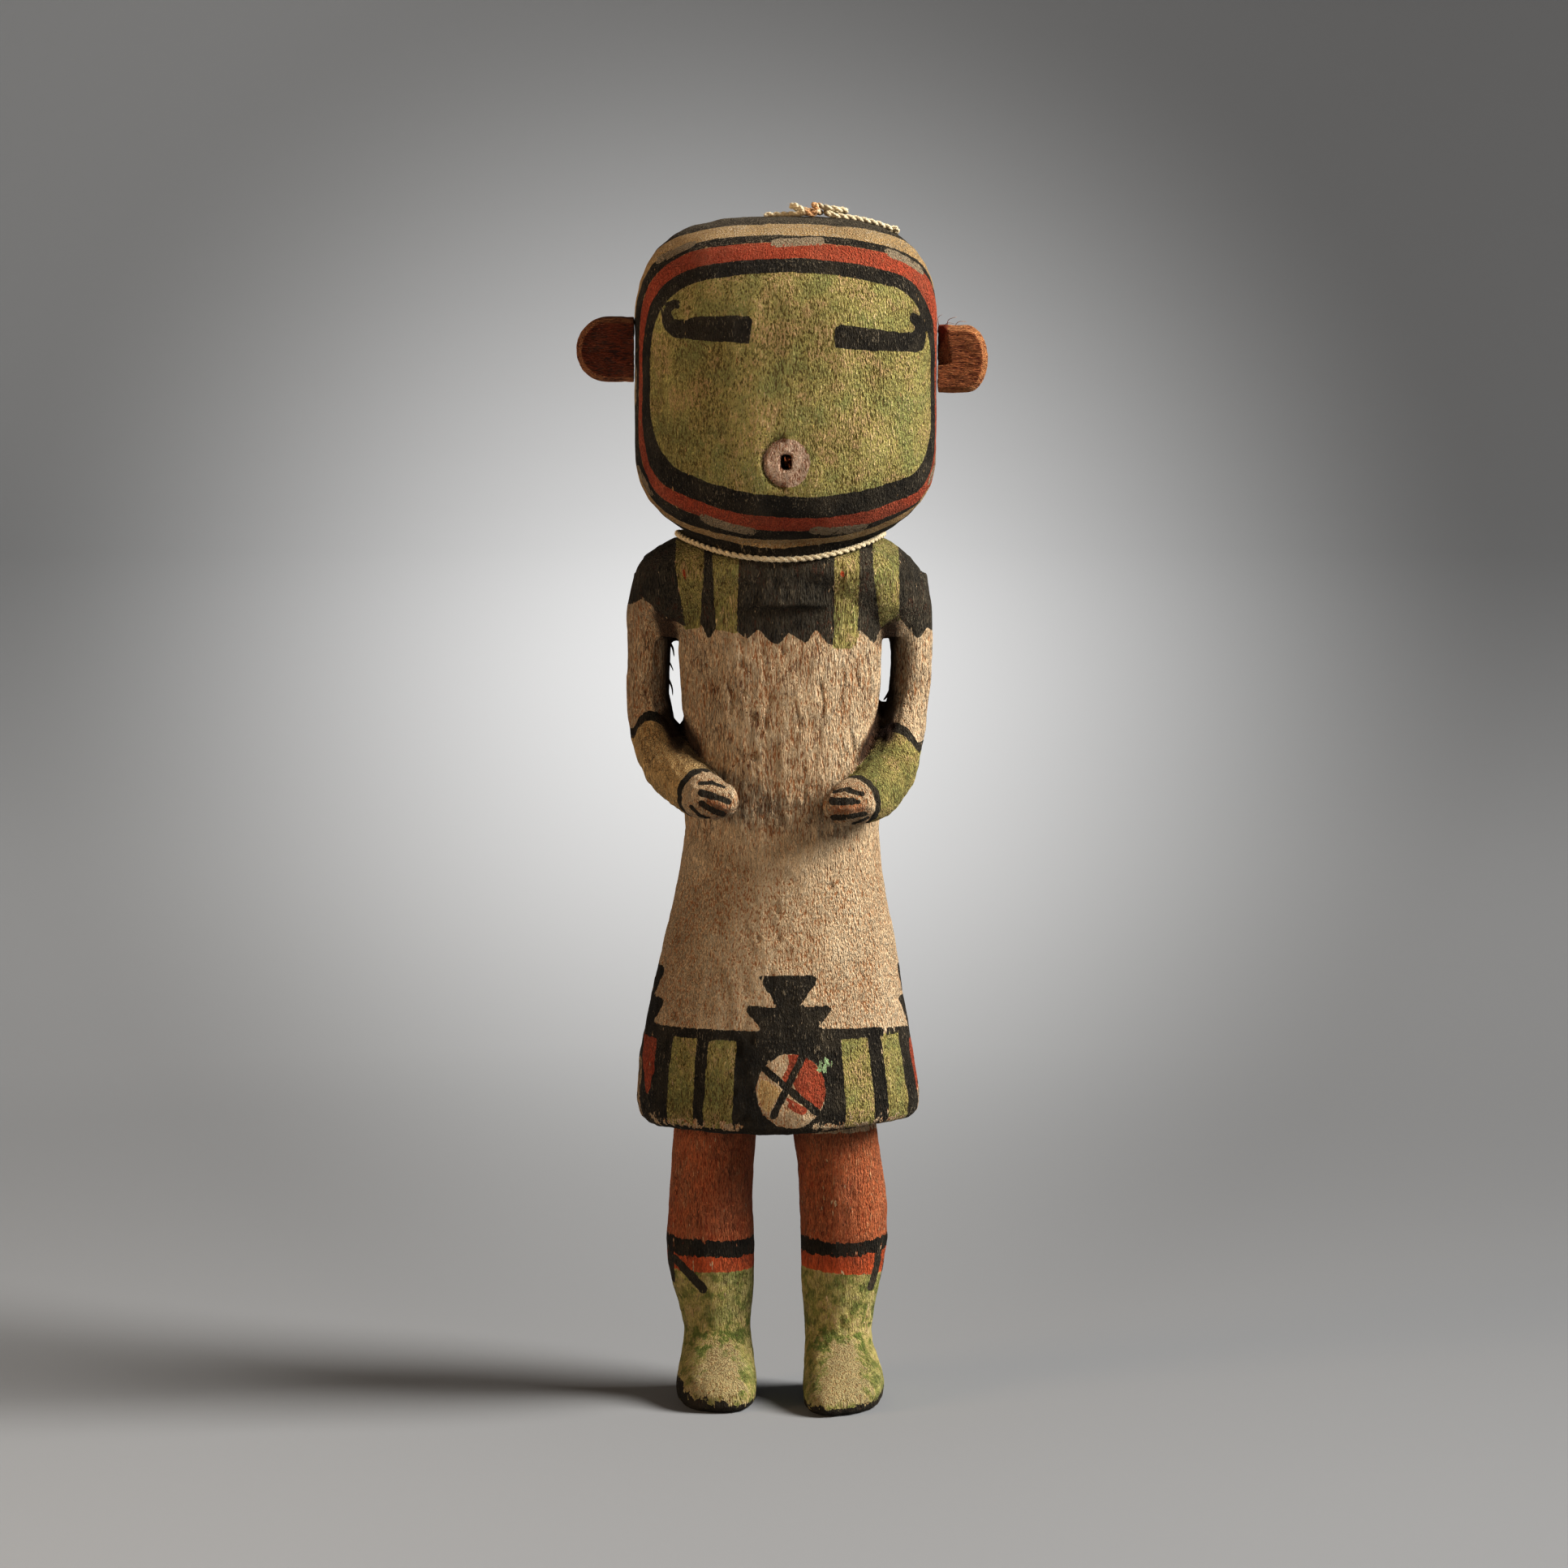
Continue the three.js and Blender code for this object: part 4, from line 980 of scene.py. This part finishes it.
def figureMaterial():
    material, tree, shader = newMaterial("paintedWood", 0.88)
    c = {name: pigment(*value) for name, value in figureColours.items()}
    place = objectPlace(tree)

    def stored(name):
        return addNode(tree, "ShaderNodeAttribute", attribute_name=name).outputs["Fac"]

    def grain(size, stretch):
        inputs = {"Vector": place, "Size": size, "Stretch": stretch}
        return addNode(tree, "ShaderNodeGroup", inputs, node_tree=grainGroup).outputs

    fibrous, stippled = grain(0.5, 5.5), grain(0.5, 3.2)
    onChest, relief = stored("onChest"), stored("relief")

    def blended(name):
        mix = addNode(tree, "ShaderNodeMix", {0: onChest, 2: stippled[name], 3: fibrous[name]}, data_type="FLOAT")
        return mix.outputs[0]

    fineHeight, rough = blended("Height"), blended("Bump")
    flake, mottle, wobble = (stippled[name] for name in ("Flake", "Mottle", "Wobble"))
    sides = addNode(tree, "ShaderNodeSeparateXYZ", {0: place}).outputs
    onBoots = stored("onBoots")
    calmer = calc(tree, "SUBTRACT", 1.0, calc(tree, "MULTIPLY", onBoots, 0.45))
    height = calc(tree, "ADD", fineHeight, remap(tree, relief, -0.7, 0.6, -0.25, 0.25))
    height = calc(tree, "ADD", calc(tree, "MULTIPLY", calc(tree, "SUBTRACT", height, 0.5), calmer), 0.5)

    def coat(under, name, edge, ragged, wear, shade=None, peak=None, valley=None):
        inputs = {"Under": under, "Coat": shade or c[name], "Valley": c[valley or name + "Valley"],
                  "Peak": c[peak or name + "Peak"], "Wobble": wobble, "Ragged": ragged,
                  "Edge": stored(edge) if isinstance(edge, str) else edge,
                  "Height": height, "Flake": flake, "Wear": wear}
        return addNode(tree, "ShaderNodeGroup", inputs, node_tree=coatGroup).outputs["Colour"]

    def overlapped(first, second):
        return calc(tree, "MAXIMUM", first, second)

    bare = mixColour(tree, stored("onHead"), c["wood"], c["headWood"])
    valley = mixColour(tree, stored("onHead"), c["woodValley"], c["headValley"])
    colour = mixColour(tree, remap(tree, height, 0.02, 0.42), valley, bare)
    colour = mixColour(tree, remap(tree, height, 0.74, 1.05), colour, c["woodPeak"])
    stain = remap(tree, brushed(tree, place, fingerStains), 1.2, -0.8, 0.0, 0.6)
    onHands = calc(tree, "LESS_THAN", sides["Y"], -24.5)
    colour = mixColour(tree, calc(tree, "MULTIPLY", stain, onHands), colour, c["knuckle"])
    colour = coat(colour, "terracotta", "terracotta", 0.8, 0.12, valley="terraValley", peak="terraPeak")
    patchy = mixColour(tree, remap(tree, mottle, 0.48, 0.64, 0.0, 0.7), c["green"], c["greenBlue"])
    rubbed = calc(tree, "MULTIPLY", remap(tree, mottle, 0.5, 0.38), remap(tree, fineHeight, 0.35, 0.8))
    patchy = mixColour(tree, calc(tree, "MULTIPLY", rubbed, 0.85), patchy, c["rubbed"])
    cloud = addNode(tree, "ShaderNodeTexNoise", {"Vector": place, "Scale": 0.3, "Detail": 4.0, "Roughness": 0.68})
    cloudy = calc(tree, "MULTIPLY", remap(tree, cloud.outputs["Fac"], 0.42, 0.66, 0.0, 0.85), onBoots)
    patchy = mixColour(tree, cloudy, patchy, c["greenDeep"])
    paler = calc(tree, "MULTIPLY", remap(tree, cloud.outputs["Fac"], 0.56, 0.3, 0.0, 0.6), onBoots)
    patchy = mixColour(tree, paler, patchy, c["cream"])
    colour = coat(colour, "green", "green", 0.5, 0.1, shade=patchy)
    creaseEdge = calc(tree, "ADD", stored("crease"), remap(tree, cloud.outputs["Fac"], 0.35, 0.65, 3.0, -1.5))
    inCrease = remap(tree, creaseEdge, 1.4, -1.4, 0.0, 0.85)
    colour = mixColour(tree, inCrease, colour, c["greenDeep"])
    creamEdge = calc(tree, "ADD", stored("cream"), remap(tree, cloud.outputs["Fac"], 0.35, 0.65, -1.5, 2.5))
    creamCoat = mixColour(tree, remap(tree, fineHeight, 0.05, 0.6), c["creamValley"], c["cream"])
    colour = mixColour(tree, remap(tree, creamEdge, 1.6, -1.6), colour, creamCoat)
    colour = coat(colour, "orange", "orange", 0.6, 0.12)
    colour = coat(colour, "ochre", "ochre", 0.5, 0.1)
    colour = coat(colour, "red", "red", 0.5, 0.08)
    colour = coat(colour, "scar", "scar", 0.6, 0.05)
    bands = overlapped(calc(tree, "SUBTRACT", calc(tree, "ABSOLUTE", stored("elbow")), armBands["half"]), stored("armEdge"))
    wrists = overlapped(calc(tree, "SUBTRACT", calc(tree, "ABSOLUTE", stored("wrist")), armBands["wristHalf"]), stored("armEdge"))
    cross = [(start, end, roundel["armHalf"]) for start, end in roundel["arms"]]
    lines = [overlapped(brushed(tree, place, handStrokes), calc(tree, "ADD", sides["Y"], 24.5)),
             overlapped(brushed(tree, place, legTies), calc(tree, "SUBTRACT", sides["Y"], 4.0)),
             overlapped(brushed(tree, place, cross), calc(tree, "ADD", sides["Y"], 10.0))]
    edge = stored("black")
    for other in (bands, wrists, *lines):
        edge = calc(tree, "MINIMUM", edge, other)
    charcoal = mixColour(tree, onChest, c["darkBlack"], c["black"])
    colour = coat(colour, "black", edge, 0.5, 0.08, shade=charcoal)
    colour = coat(colour, "black", "sole", 3.0, 0.2, shade=c["darkBlack"])
    colour = coat(colour, "mint", "mint", 2.4, 0.6, valley="greyValley")
    colour = coat(colour, "grey", "grey", 0.6, 0.3)
    colour = coat(colour, "wood", "bareHem", 2.6, 0.5)
    veins = addNode(tree, "ShaderNodeTexNoise", {"Vector": vectorCalc(tree, "MULTIPLY", place, (0.9, 0.9, 0.15)),
                                                 "Scale": 1.0, "Detail": 2.0, "Distortion": 0.3}).outputs["Fac"]
    split = remap(tree, calc(tree, "ABSOLUTE", calc(tree, "SUBTRACT", veins, 0.5)), 0.024, 0.004)
    split = calc(tree, "MULTIPLY", calc(tree, "MULTIPLY", split, onChest), remap(tree, mottle, 0.42, 0.58))
    colour = mixColour(tree, calc(tree, "MULTIPLY", split, 0.75), colour, c["crack"])
    # painted shade: the creases beside the arms and the arm pits turned deep brown
    colour = mixColour(tree, remap(tree, stored("cleft"), 0.0, 0.6, 0.0, 0.92), colour, c["cleft"])
    crownDust = calc(tree, "MULTIPLY", remap(tree, sides["Z"], 309.0, 314.0, 0.0, 0.2), remap(tree, height, 0.3, 0.8))
    colour = mixColour(tree, crownDust, colour, c["greyPeak"])
    colour = mixColour(tree, remap(tree, stored("hole"), 0.4, -0.3), colour, c["scarValley"])
    inputs = {"Colour": colour, "Mottle": mottle, "Amount": 0.12}
    dusty = addNode(tree, "ShaderNodeGroup", inputs, node_tree=dustGroup)
    tree.links.new(dusty.outputs[0], shader.inputs["Base Color"])
    surface = calc(tree, "SUBTRACT", calc(tree, "MULTIPLY", rough, calmer), calc(tree, "MULTIPLY", split, 0.4))
    addBump(tree, shader, surface, 0.0027)
    return material


def makeFigure():
    s = figureSettings
    voxel = s["voxel"]
    piece = remeshed(copyOfNode("figure", "figure_form"), voxel, "figure_fine")
    points = readPoints(piece.data)
    fromHole = np.hypot(points[:, 0] - holePlace["x"], points[:, 2] - holePlace["z"])
    hold = np.where(points[:, 1] < -15, np.clip((fromHole - 2.8) / (holePlace["clear"] - 2.8), 0, 1), 1.0)
    nearArm = np.minimum(armPlaces(points, "left")[1], armPlaces(points, "right")[1])
    hold = np.where(nearArm < 13, s["armHold"], hold)
    hold = np.where(points[:, 2] < 1.0, 0.3, hold)
    points = smoothPoints(piece.data, points, s["smoothRounds"], hold)
    writePoints(piece.data, points)
    normals = readNormals(piece.data)
    moved = points + carveFigure(points, normals)[:, None] * normals
    moved[:, 2] = np.maximum(moved[:, 2], 0.0)
    writePoints(piece.data, moved)
    print("figure carved:", len(points), "points")
    piece = thinned(piece, s["triangles"], "carved_figure")
    addFibres(piece, armSplinters)
    points = readPoints(piece.data)
    for name, values in paintFigure(points, readNormals(piece.data)).items():
        storeValues(piece.data, name, values)
    piece.name = "carved_figure"
    piece.data.materials.clear()
    piece.data.materials.append(figureMaterial())
    finished(piece, "painted_wood", "figure")
    print("figure painted:", len(piece.data.polygons), "faces")


makeFigure()


# The two ear tabs, dark stained wood with the grain running across; the left tab's colours are darker as painted shade
# and the right tab's lighter as painted light
earSettings = {"voxel": 0.36, "smoothRounds": 4, "grain": 0.13, "pitShade": 0.22, "reachIn": 1.6}
earLooks = {
    # the left tab has darker colours as painted shade, the right tab lighter ones as painted light
    "left_ear": {"seed": 31, "face": (112, 48, 22), "valley": (50, 18, 8), "peak": (150, 84, 48), "rim": (160, 108, 70)},
    "right_ear": {"seed": 47, "face": (176, 108, 64), "valley": (98, 42, 20), "peak": (206, 146, 98), "rim": (194, 138, 90)},
}
earCut = {"corners": [(38, 288), (44.2, 288), (43.6, 286), (41.4, 280), (38, 279)], "colour": (128, 44, 24)}
earFibres = [
    ([(43.5, -3.0, 286.4), (44.0, -3.4, 288.4), (46.2, -3.8, 289.2)], 0.28),
    ([(41.5, -2.0, 286.4), (41.2, -2.2, 288.8), (42.4, -2.6, 289.8)], 0.25),
    ([(45.4, -2.4, 286.2), (46.6, -2.6, 287.8), (49.0, -2.8, 287.9)], 0.25),
    ([(42.6, -4.6, 286.2), (43.6, -5.4, 287.6), (45.8, -5.8, 287.4)], 0.22),
]


def earMaterial(name, look):
    material, tree, shader = newMaterial(name + "Wood", 0.8)
    c = {key: pigment(*value) for key, value in look.items() if key != "seed"}
    place = objectPlace(tree)
    turned = addNode(tree, "ShaderNodeMapping", {"Vector": place, "Rotation": (0, math.pi / 2, 0)}).outputs[0]
    grain = addNode(tree, "ShaderNodeGroup", {"Vector": turned, "Size": 0.36, "Stretch": 7.0}, node_tree=grainGroup).outputs
    relief = addNode(tree, "ShaderNodeAttribute", attribute_name="relief").outputs["Fac"]
    rim = addNode(tree, "ShaderNodeAttribute", attribute_name="rim").outputs["Fac"]
    height = calc(tree, "ADD", grain["Height"], remap(tree, relief, -0.5, 0.3, -0.35, 0.2))
    base = {"Under": c["face"], "Coat": c["face"], "Valley": c["valley"], "Peak": c["peak"], "Edge": -4.0,
            "Height": height, "Flake": 0.0, "Wear": 0.0, "Wobble": 0.0}
    face = addNode(tree, "ShaderNodeGroup", base, node_tree=coatGroup).outputs[0]
    worn = calc(tree, "MULTIPLY", rim, remap(tree, calc(tree, "ADD", grain["Flake"], height), 0.45, 1.1))
    colour = mixColour(tree, worn, face, c["rim"])
    cut = addNode(tree, "ShaderNodeAttribute", attribute_name="cut").outputs["Fac"]
    colour = mixColour(tree, remap(tree, cut, 0.4, -0.4, 0.0, 0.85), colour, pigment(*earCut["colour"]))
    dusty = addNode(tree, "ShaderNodeGroup", {"Colour": colour, "Mottle": grain["Mottle"], "Amount": 0.08}, node_tree=dustGroup)
    tree.links.new(dusty.outputs[0], shader.inputs["Base Color"])
    addBump(tree, shader, grain["Bump"], 0.0012)
    return material


def makeEar(node):
    s, look = earSettings, earLooks[node]
    piece = remeshed(copyOfNode(node, node + "_form"), s["voxel"], node + "_tab")
    mesh = piece.data
    points = smoothPoints(mesh, readPoints(mesh), s["smoothRounds"], np.ones(len(mesh.vertices)))
    writePoints(mesh, points)
    points[:, 0] -= s["reachIn"] * np.sign(points[:, 0]) * np.clip((38 - np.abs(points[:, 0])) / 4, 0, 1)
    normals = readNormals(mesh)
    grain = latticeNoise(points, (5.5, 1.1, 1.0), look["seed"]) + 0.6 * latticeNoise(points, (3, 0.8, 0.75), look["seed"] + 1)
    pits = np.clip((latticeNoise(points, (2.6, 1.3, 1.1), look["seed"] + 2) - 0.55) * 3, 0, 1)
    relief = s["grain"] * grain - s["pitShade"] * pits - 0.12
    writePoints(mesh, points + relief[:, None] * normals)
    if node == "right_ear":
        addFibres(piece, earFibres)
    points, normals = readPoints(mesh), readNormals(mesh)
    added = len(points) - len(relief)
    storeValues(mesh, "relief", np.concatenate([relief, np.zeros(added)]))
    storeValues(mesh, "cut", polygonDistance(points[:, 0], points[:, 2], earCut["corners"]))
    storeValues(mesh, "rim", np.clip((np.abs(normals[:, 1]) - 0.96) / -0.2, 0, 1))
    mesh.materials.clear()
    mesh.materials.append(earMaterial(node, look))
    finished(piece, "ear_wood", node)
    print(node, len(mesh.polygons), "faces")


for earNode in earLooks:
    makeEar(earNode)

# The broken peg in the mouth hole
pegSettings = {"voxel": 0.13, "smoothRounds": 6, "rough": 0.14}
pegFibres = [
    ([(1.2, -33.0, 253.0), (0.9, -34.2, 253.4), (0.9, -34.6, 254.2)], 0.6),
    ([(2.0, -32.6, 252.0), (2.1, -33.8, 251.7), (1.9, -34.4, 251.2)], 0.6),
    ([(1.8, -32.8, 253.2), (2.0, -33.9, 253.4), (2.2, -34.3, 253.3)], 0.5),
]
pegColours = {"wood": (186, 106, 60), "valley": (84, 34, 16), "peak": (232, 164, 110)}


def makePeg():
    s = pegSettings
    piece = remeshed(copyOfNode("mouth_peg", "peg_form"), s["voxel"], "broken_peg")
    mesh = piece.data
    points = smoothPoints(mesh, readPoints(mesh), s["smoothRounds"], np.ones(len(mesh.vertices)))
    writePoints(mesh, points)
    relief = s["rough"] * latticeNoise(points, (0.5, 2.2, 0.5), 61)
    writePoints(mesh, points + relief[:, None] * readNormals(mesh))
    addFibres(piece, pegFibres)
    material, tree, shader = newMaterial("brokenWood", 0.85)
    grain = addNode(tree, "ShaderNodeGroup", {"Vector": objectPlace(tree), "Size": 0.35, "Stretch": 1.0}, node_tree=grainGroup).outputs
    inputs = {"Coat": pigment(*pegColours["wood"]), "Valley": pigment(*pegColours["valley"]),
              "Peak": pigment(*pegColours["peak"]), "Edge": -4.0, "Height": grain["Height"], "Flake": 0.0, "Wear": 0.0}
    colour = addNode(tree, "ShaderNodeGroup", inputs, node_tree=coatGroup).outputs[0]
    tree.links.new(colour, shader.inputs["Base Color"])
    addBump(tree, shader, grain["Height"], 0.0002)
    mesh.materials.clear()
    mesh.materials.append(material)
    finished(piece, "broken_wood", "mouth_peg")
    print("peg", len(mesh.polygons), "faces")


makePeg()

# Studio: a pale floor that curves up into a plain wall all round, with painted shade and a painted glowing pool of
# light on it, and soft lights
studio = {"flatRadius": 0.6, "ramp": 5.0, "rampRadius": 1.75, "curveRadius": 1.25, "wallTop": 4.0,
          "grey": (151, 152, 154), "shadedX": (-0.4, 0.45), "shadedShare": 0.38,
          "shadeBeltY": 0.36, "shadeBeltHalf": 0.6, "shadeBeltShare": 0.2}     # metres, degrees
glow = {"x": -0.006, "y": 1.45, "z": 0.1, "tipY": -1.6, "across": 0.13, "along": 1.58, "up": 0.5, "strength": 0.53}     # painted pool of light glowing on the floor and wall behind the doll
lights = {
    # azimuth in degrees from the front towards +X, elevation and spread in degrees; aim, distance and size in metres; watts
    "key": {"azimuth": 80, "elevation": 35, "aimZ": 0.16, "spread": 180, "distance": 2.2, "size": 1.2, "watts": 122,
            "colour": (1.0, 0.985, 0.95)},
    "front": {"azimuth": 30, "elevation": -2, "aimZ": 0.25, "spread": 180, "distance": 1.2, "size": 0.3, "watts": 0.9,
              "colour": (1.0, 0.75, 0.5)},
    "fill": {"azimuth": -62, "elevation": 9, "aimZ": 0.16, "spread": 180, "distance": 1.5, "size": 0.6, "watts": 8.6,
             "colour": (1.0, 0.71, 0.43)},
    "head": {"azimuth": -58, "elevation": 3, "aimZ": 0.285, "spread": 7, "distance": 1.0, "size": 0.06, "watts": 0.007,
             "colour": (1.0, 0.84, 0.64)},
}
tone = {"exposure": 0.2, "gamma": 0.8}


def makeStudio():
    slope = math.radians(studio["ramp"])
    profile = [(0.0, 0.0), (studio["flatRadius"] - 0.1, 0.0), (studio["flatRadius"], 0.002)]
    rampTop = (studio["rampRadius"] - studio["flatRadius"]) * math.tan(slope)
    for k in range(17):
        angle = slope + k / 16 * (math.pi / 2 - slope)
        profile.append((studio["rampRadius"] + studio["curveRadius"] * (math.sin(angle) - math.sin(slope)),
                        rampTop + studio["curveRadius"] * (math.cos(slope) - math.cos(angle))))
    profile.append((profile[-1][0], studio["wallTop"]))
    work = bmesh.new()
    sides = 96
    rings = [[work.verts.new((r * math.cos(math.tau * i / sides), r * math.sin(math.tau * i / sides), z - 0.0001))
              for i in range(sides)] for r, z in profile[1:]]
    middle = work.verts.new((0, 0, -0.0001))
    for i in range(sides):
        work.faces.new((middle, rings[0][i], rings[0][(i + 1) % sides]))
    for low, high in zip(rings, rings[1:]):
        for i in range(sides):
            j = (i + 1) % sides
            work.faces.new((low[i], high[i], high[j], low[j]))
    mesh = bpy.data.meshes.new("studio_floor")
    work.to_mesh(mesh)
    work.free()
    mesh.shade_smooth()
    material, tree, shader = newMaterial("floorPaper", 0.95)
    place = tree.nodes.new("ShaderNodeTexCoord").outputs["Object"]
    sides = addNode(tree, "ShaderNodeSeparateXYZ", {0: place}).outputs
    # painted shade: the paper darker towards +X and along a belt behind the doll
    right = remap(tree, sides["X"], *studio["shadedX"], 1.0, 1 - studio["shadedShare"])
    offShadeBelt = calc(tree, "ABSOLUTE", calc(tree, "SUBTRACT", sides["Y"], studio["shadeBeltY"]))
    shadeBelt = remap(tree, offShadeBelt, 0.0, studio["shadeBeltHalf"], 1 - studio["shadeBeltShare"], 1.0)
    paper = mixColour(tree, calc(tree, "MULTIPLY", right, shadeBelt), (0, 0, 0, 1), pigment(*studio["grey"]))
    tree.links.new(paper, shader.inputs["Base Color"])
    # painted light: the paper glows in a pool behind the doll
    wedge = calc(tree, "DIVIDE", sides["X"], calc(tree, "SUBTRACT", sides["Y"], glow["tipY"]))     # narrower near the doll
    offPool = [calc(tree, "DIVIDE", calc(tree, "SUBTRACT", side, glow[name]), glow[reach])
               for side, name, reach in ((wedge, "x", "across"), (sides["Y"], "y", "along"), (sides["Z"], "z", "up"))]
    together = addNode(tree, "ShaderNodeCombineXYZ", dict(enumerate(offPool))).outputs[0]
    away = addNode(tree, "ShaderNodeVectorMath", {0: together}, operation="LENGTH")
    paintedLightPool = remap(tree, away.outputs["Value"], 1.0, 0.0)
    tree.links.new(mixColour(tree, paintedLightPool, (0, 0, 0, 1), (1, 1, 1, 1)), shader.inputs["Emission Color"])
    shader.inputs["Emission Strength"].default_value = glow["strength"]
    mesh.materials.append(material)
    floor = bpy.data.objects.new("studio_floor", mesh)
    bpy.context.collection.objects.link(floor)
    for name, light in lights.items():
        data = bpy.data.lights.new(name, "AREA")
        data.shape = "DISK"
        data.size = light["size"]
        data.energy = light["watts"]
        data.spread = math.radians(light["spread"])
        data.color = light["colour"]
        azimuth, elevation = math.radians(light["azimuth"]), math.radians(light["elevation"])
        direction = Vector((math.sin(azimuth) * math.cos(elevation), -math.cos(azimuth) * math.cos(elevation),
                            math.sin(elevation)))
        lamp = bpy.data.objects.new(name, data)
        lamp.location = Vector((0, 0, light["aimZ"])) + direction * light["distance"]
        lamp.rotation_euler = direction.to_track_quat("Z", "Y").to_euler()
        bpy.context.collection.objects.link(lamp)
    world = bpy.data.worlds.new("studio")
    world.use_nodes = True
    world.node_tree.nodes["Background"].inputs["Color"].default_value = pigment(206, 204, 204)
    world.node_tree.nodes["Background"].inputs["Strength"].default_value = 0.15
    bpy.context.scene.world = world
    view = bpy.context.scene.view_settings
    view.view_transform = "Standard"
    view.exposure = tone["exposure"]
    view.gamma = tone["gamma"]


makeStudio()
print("studio ready")
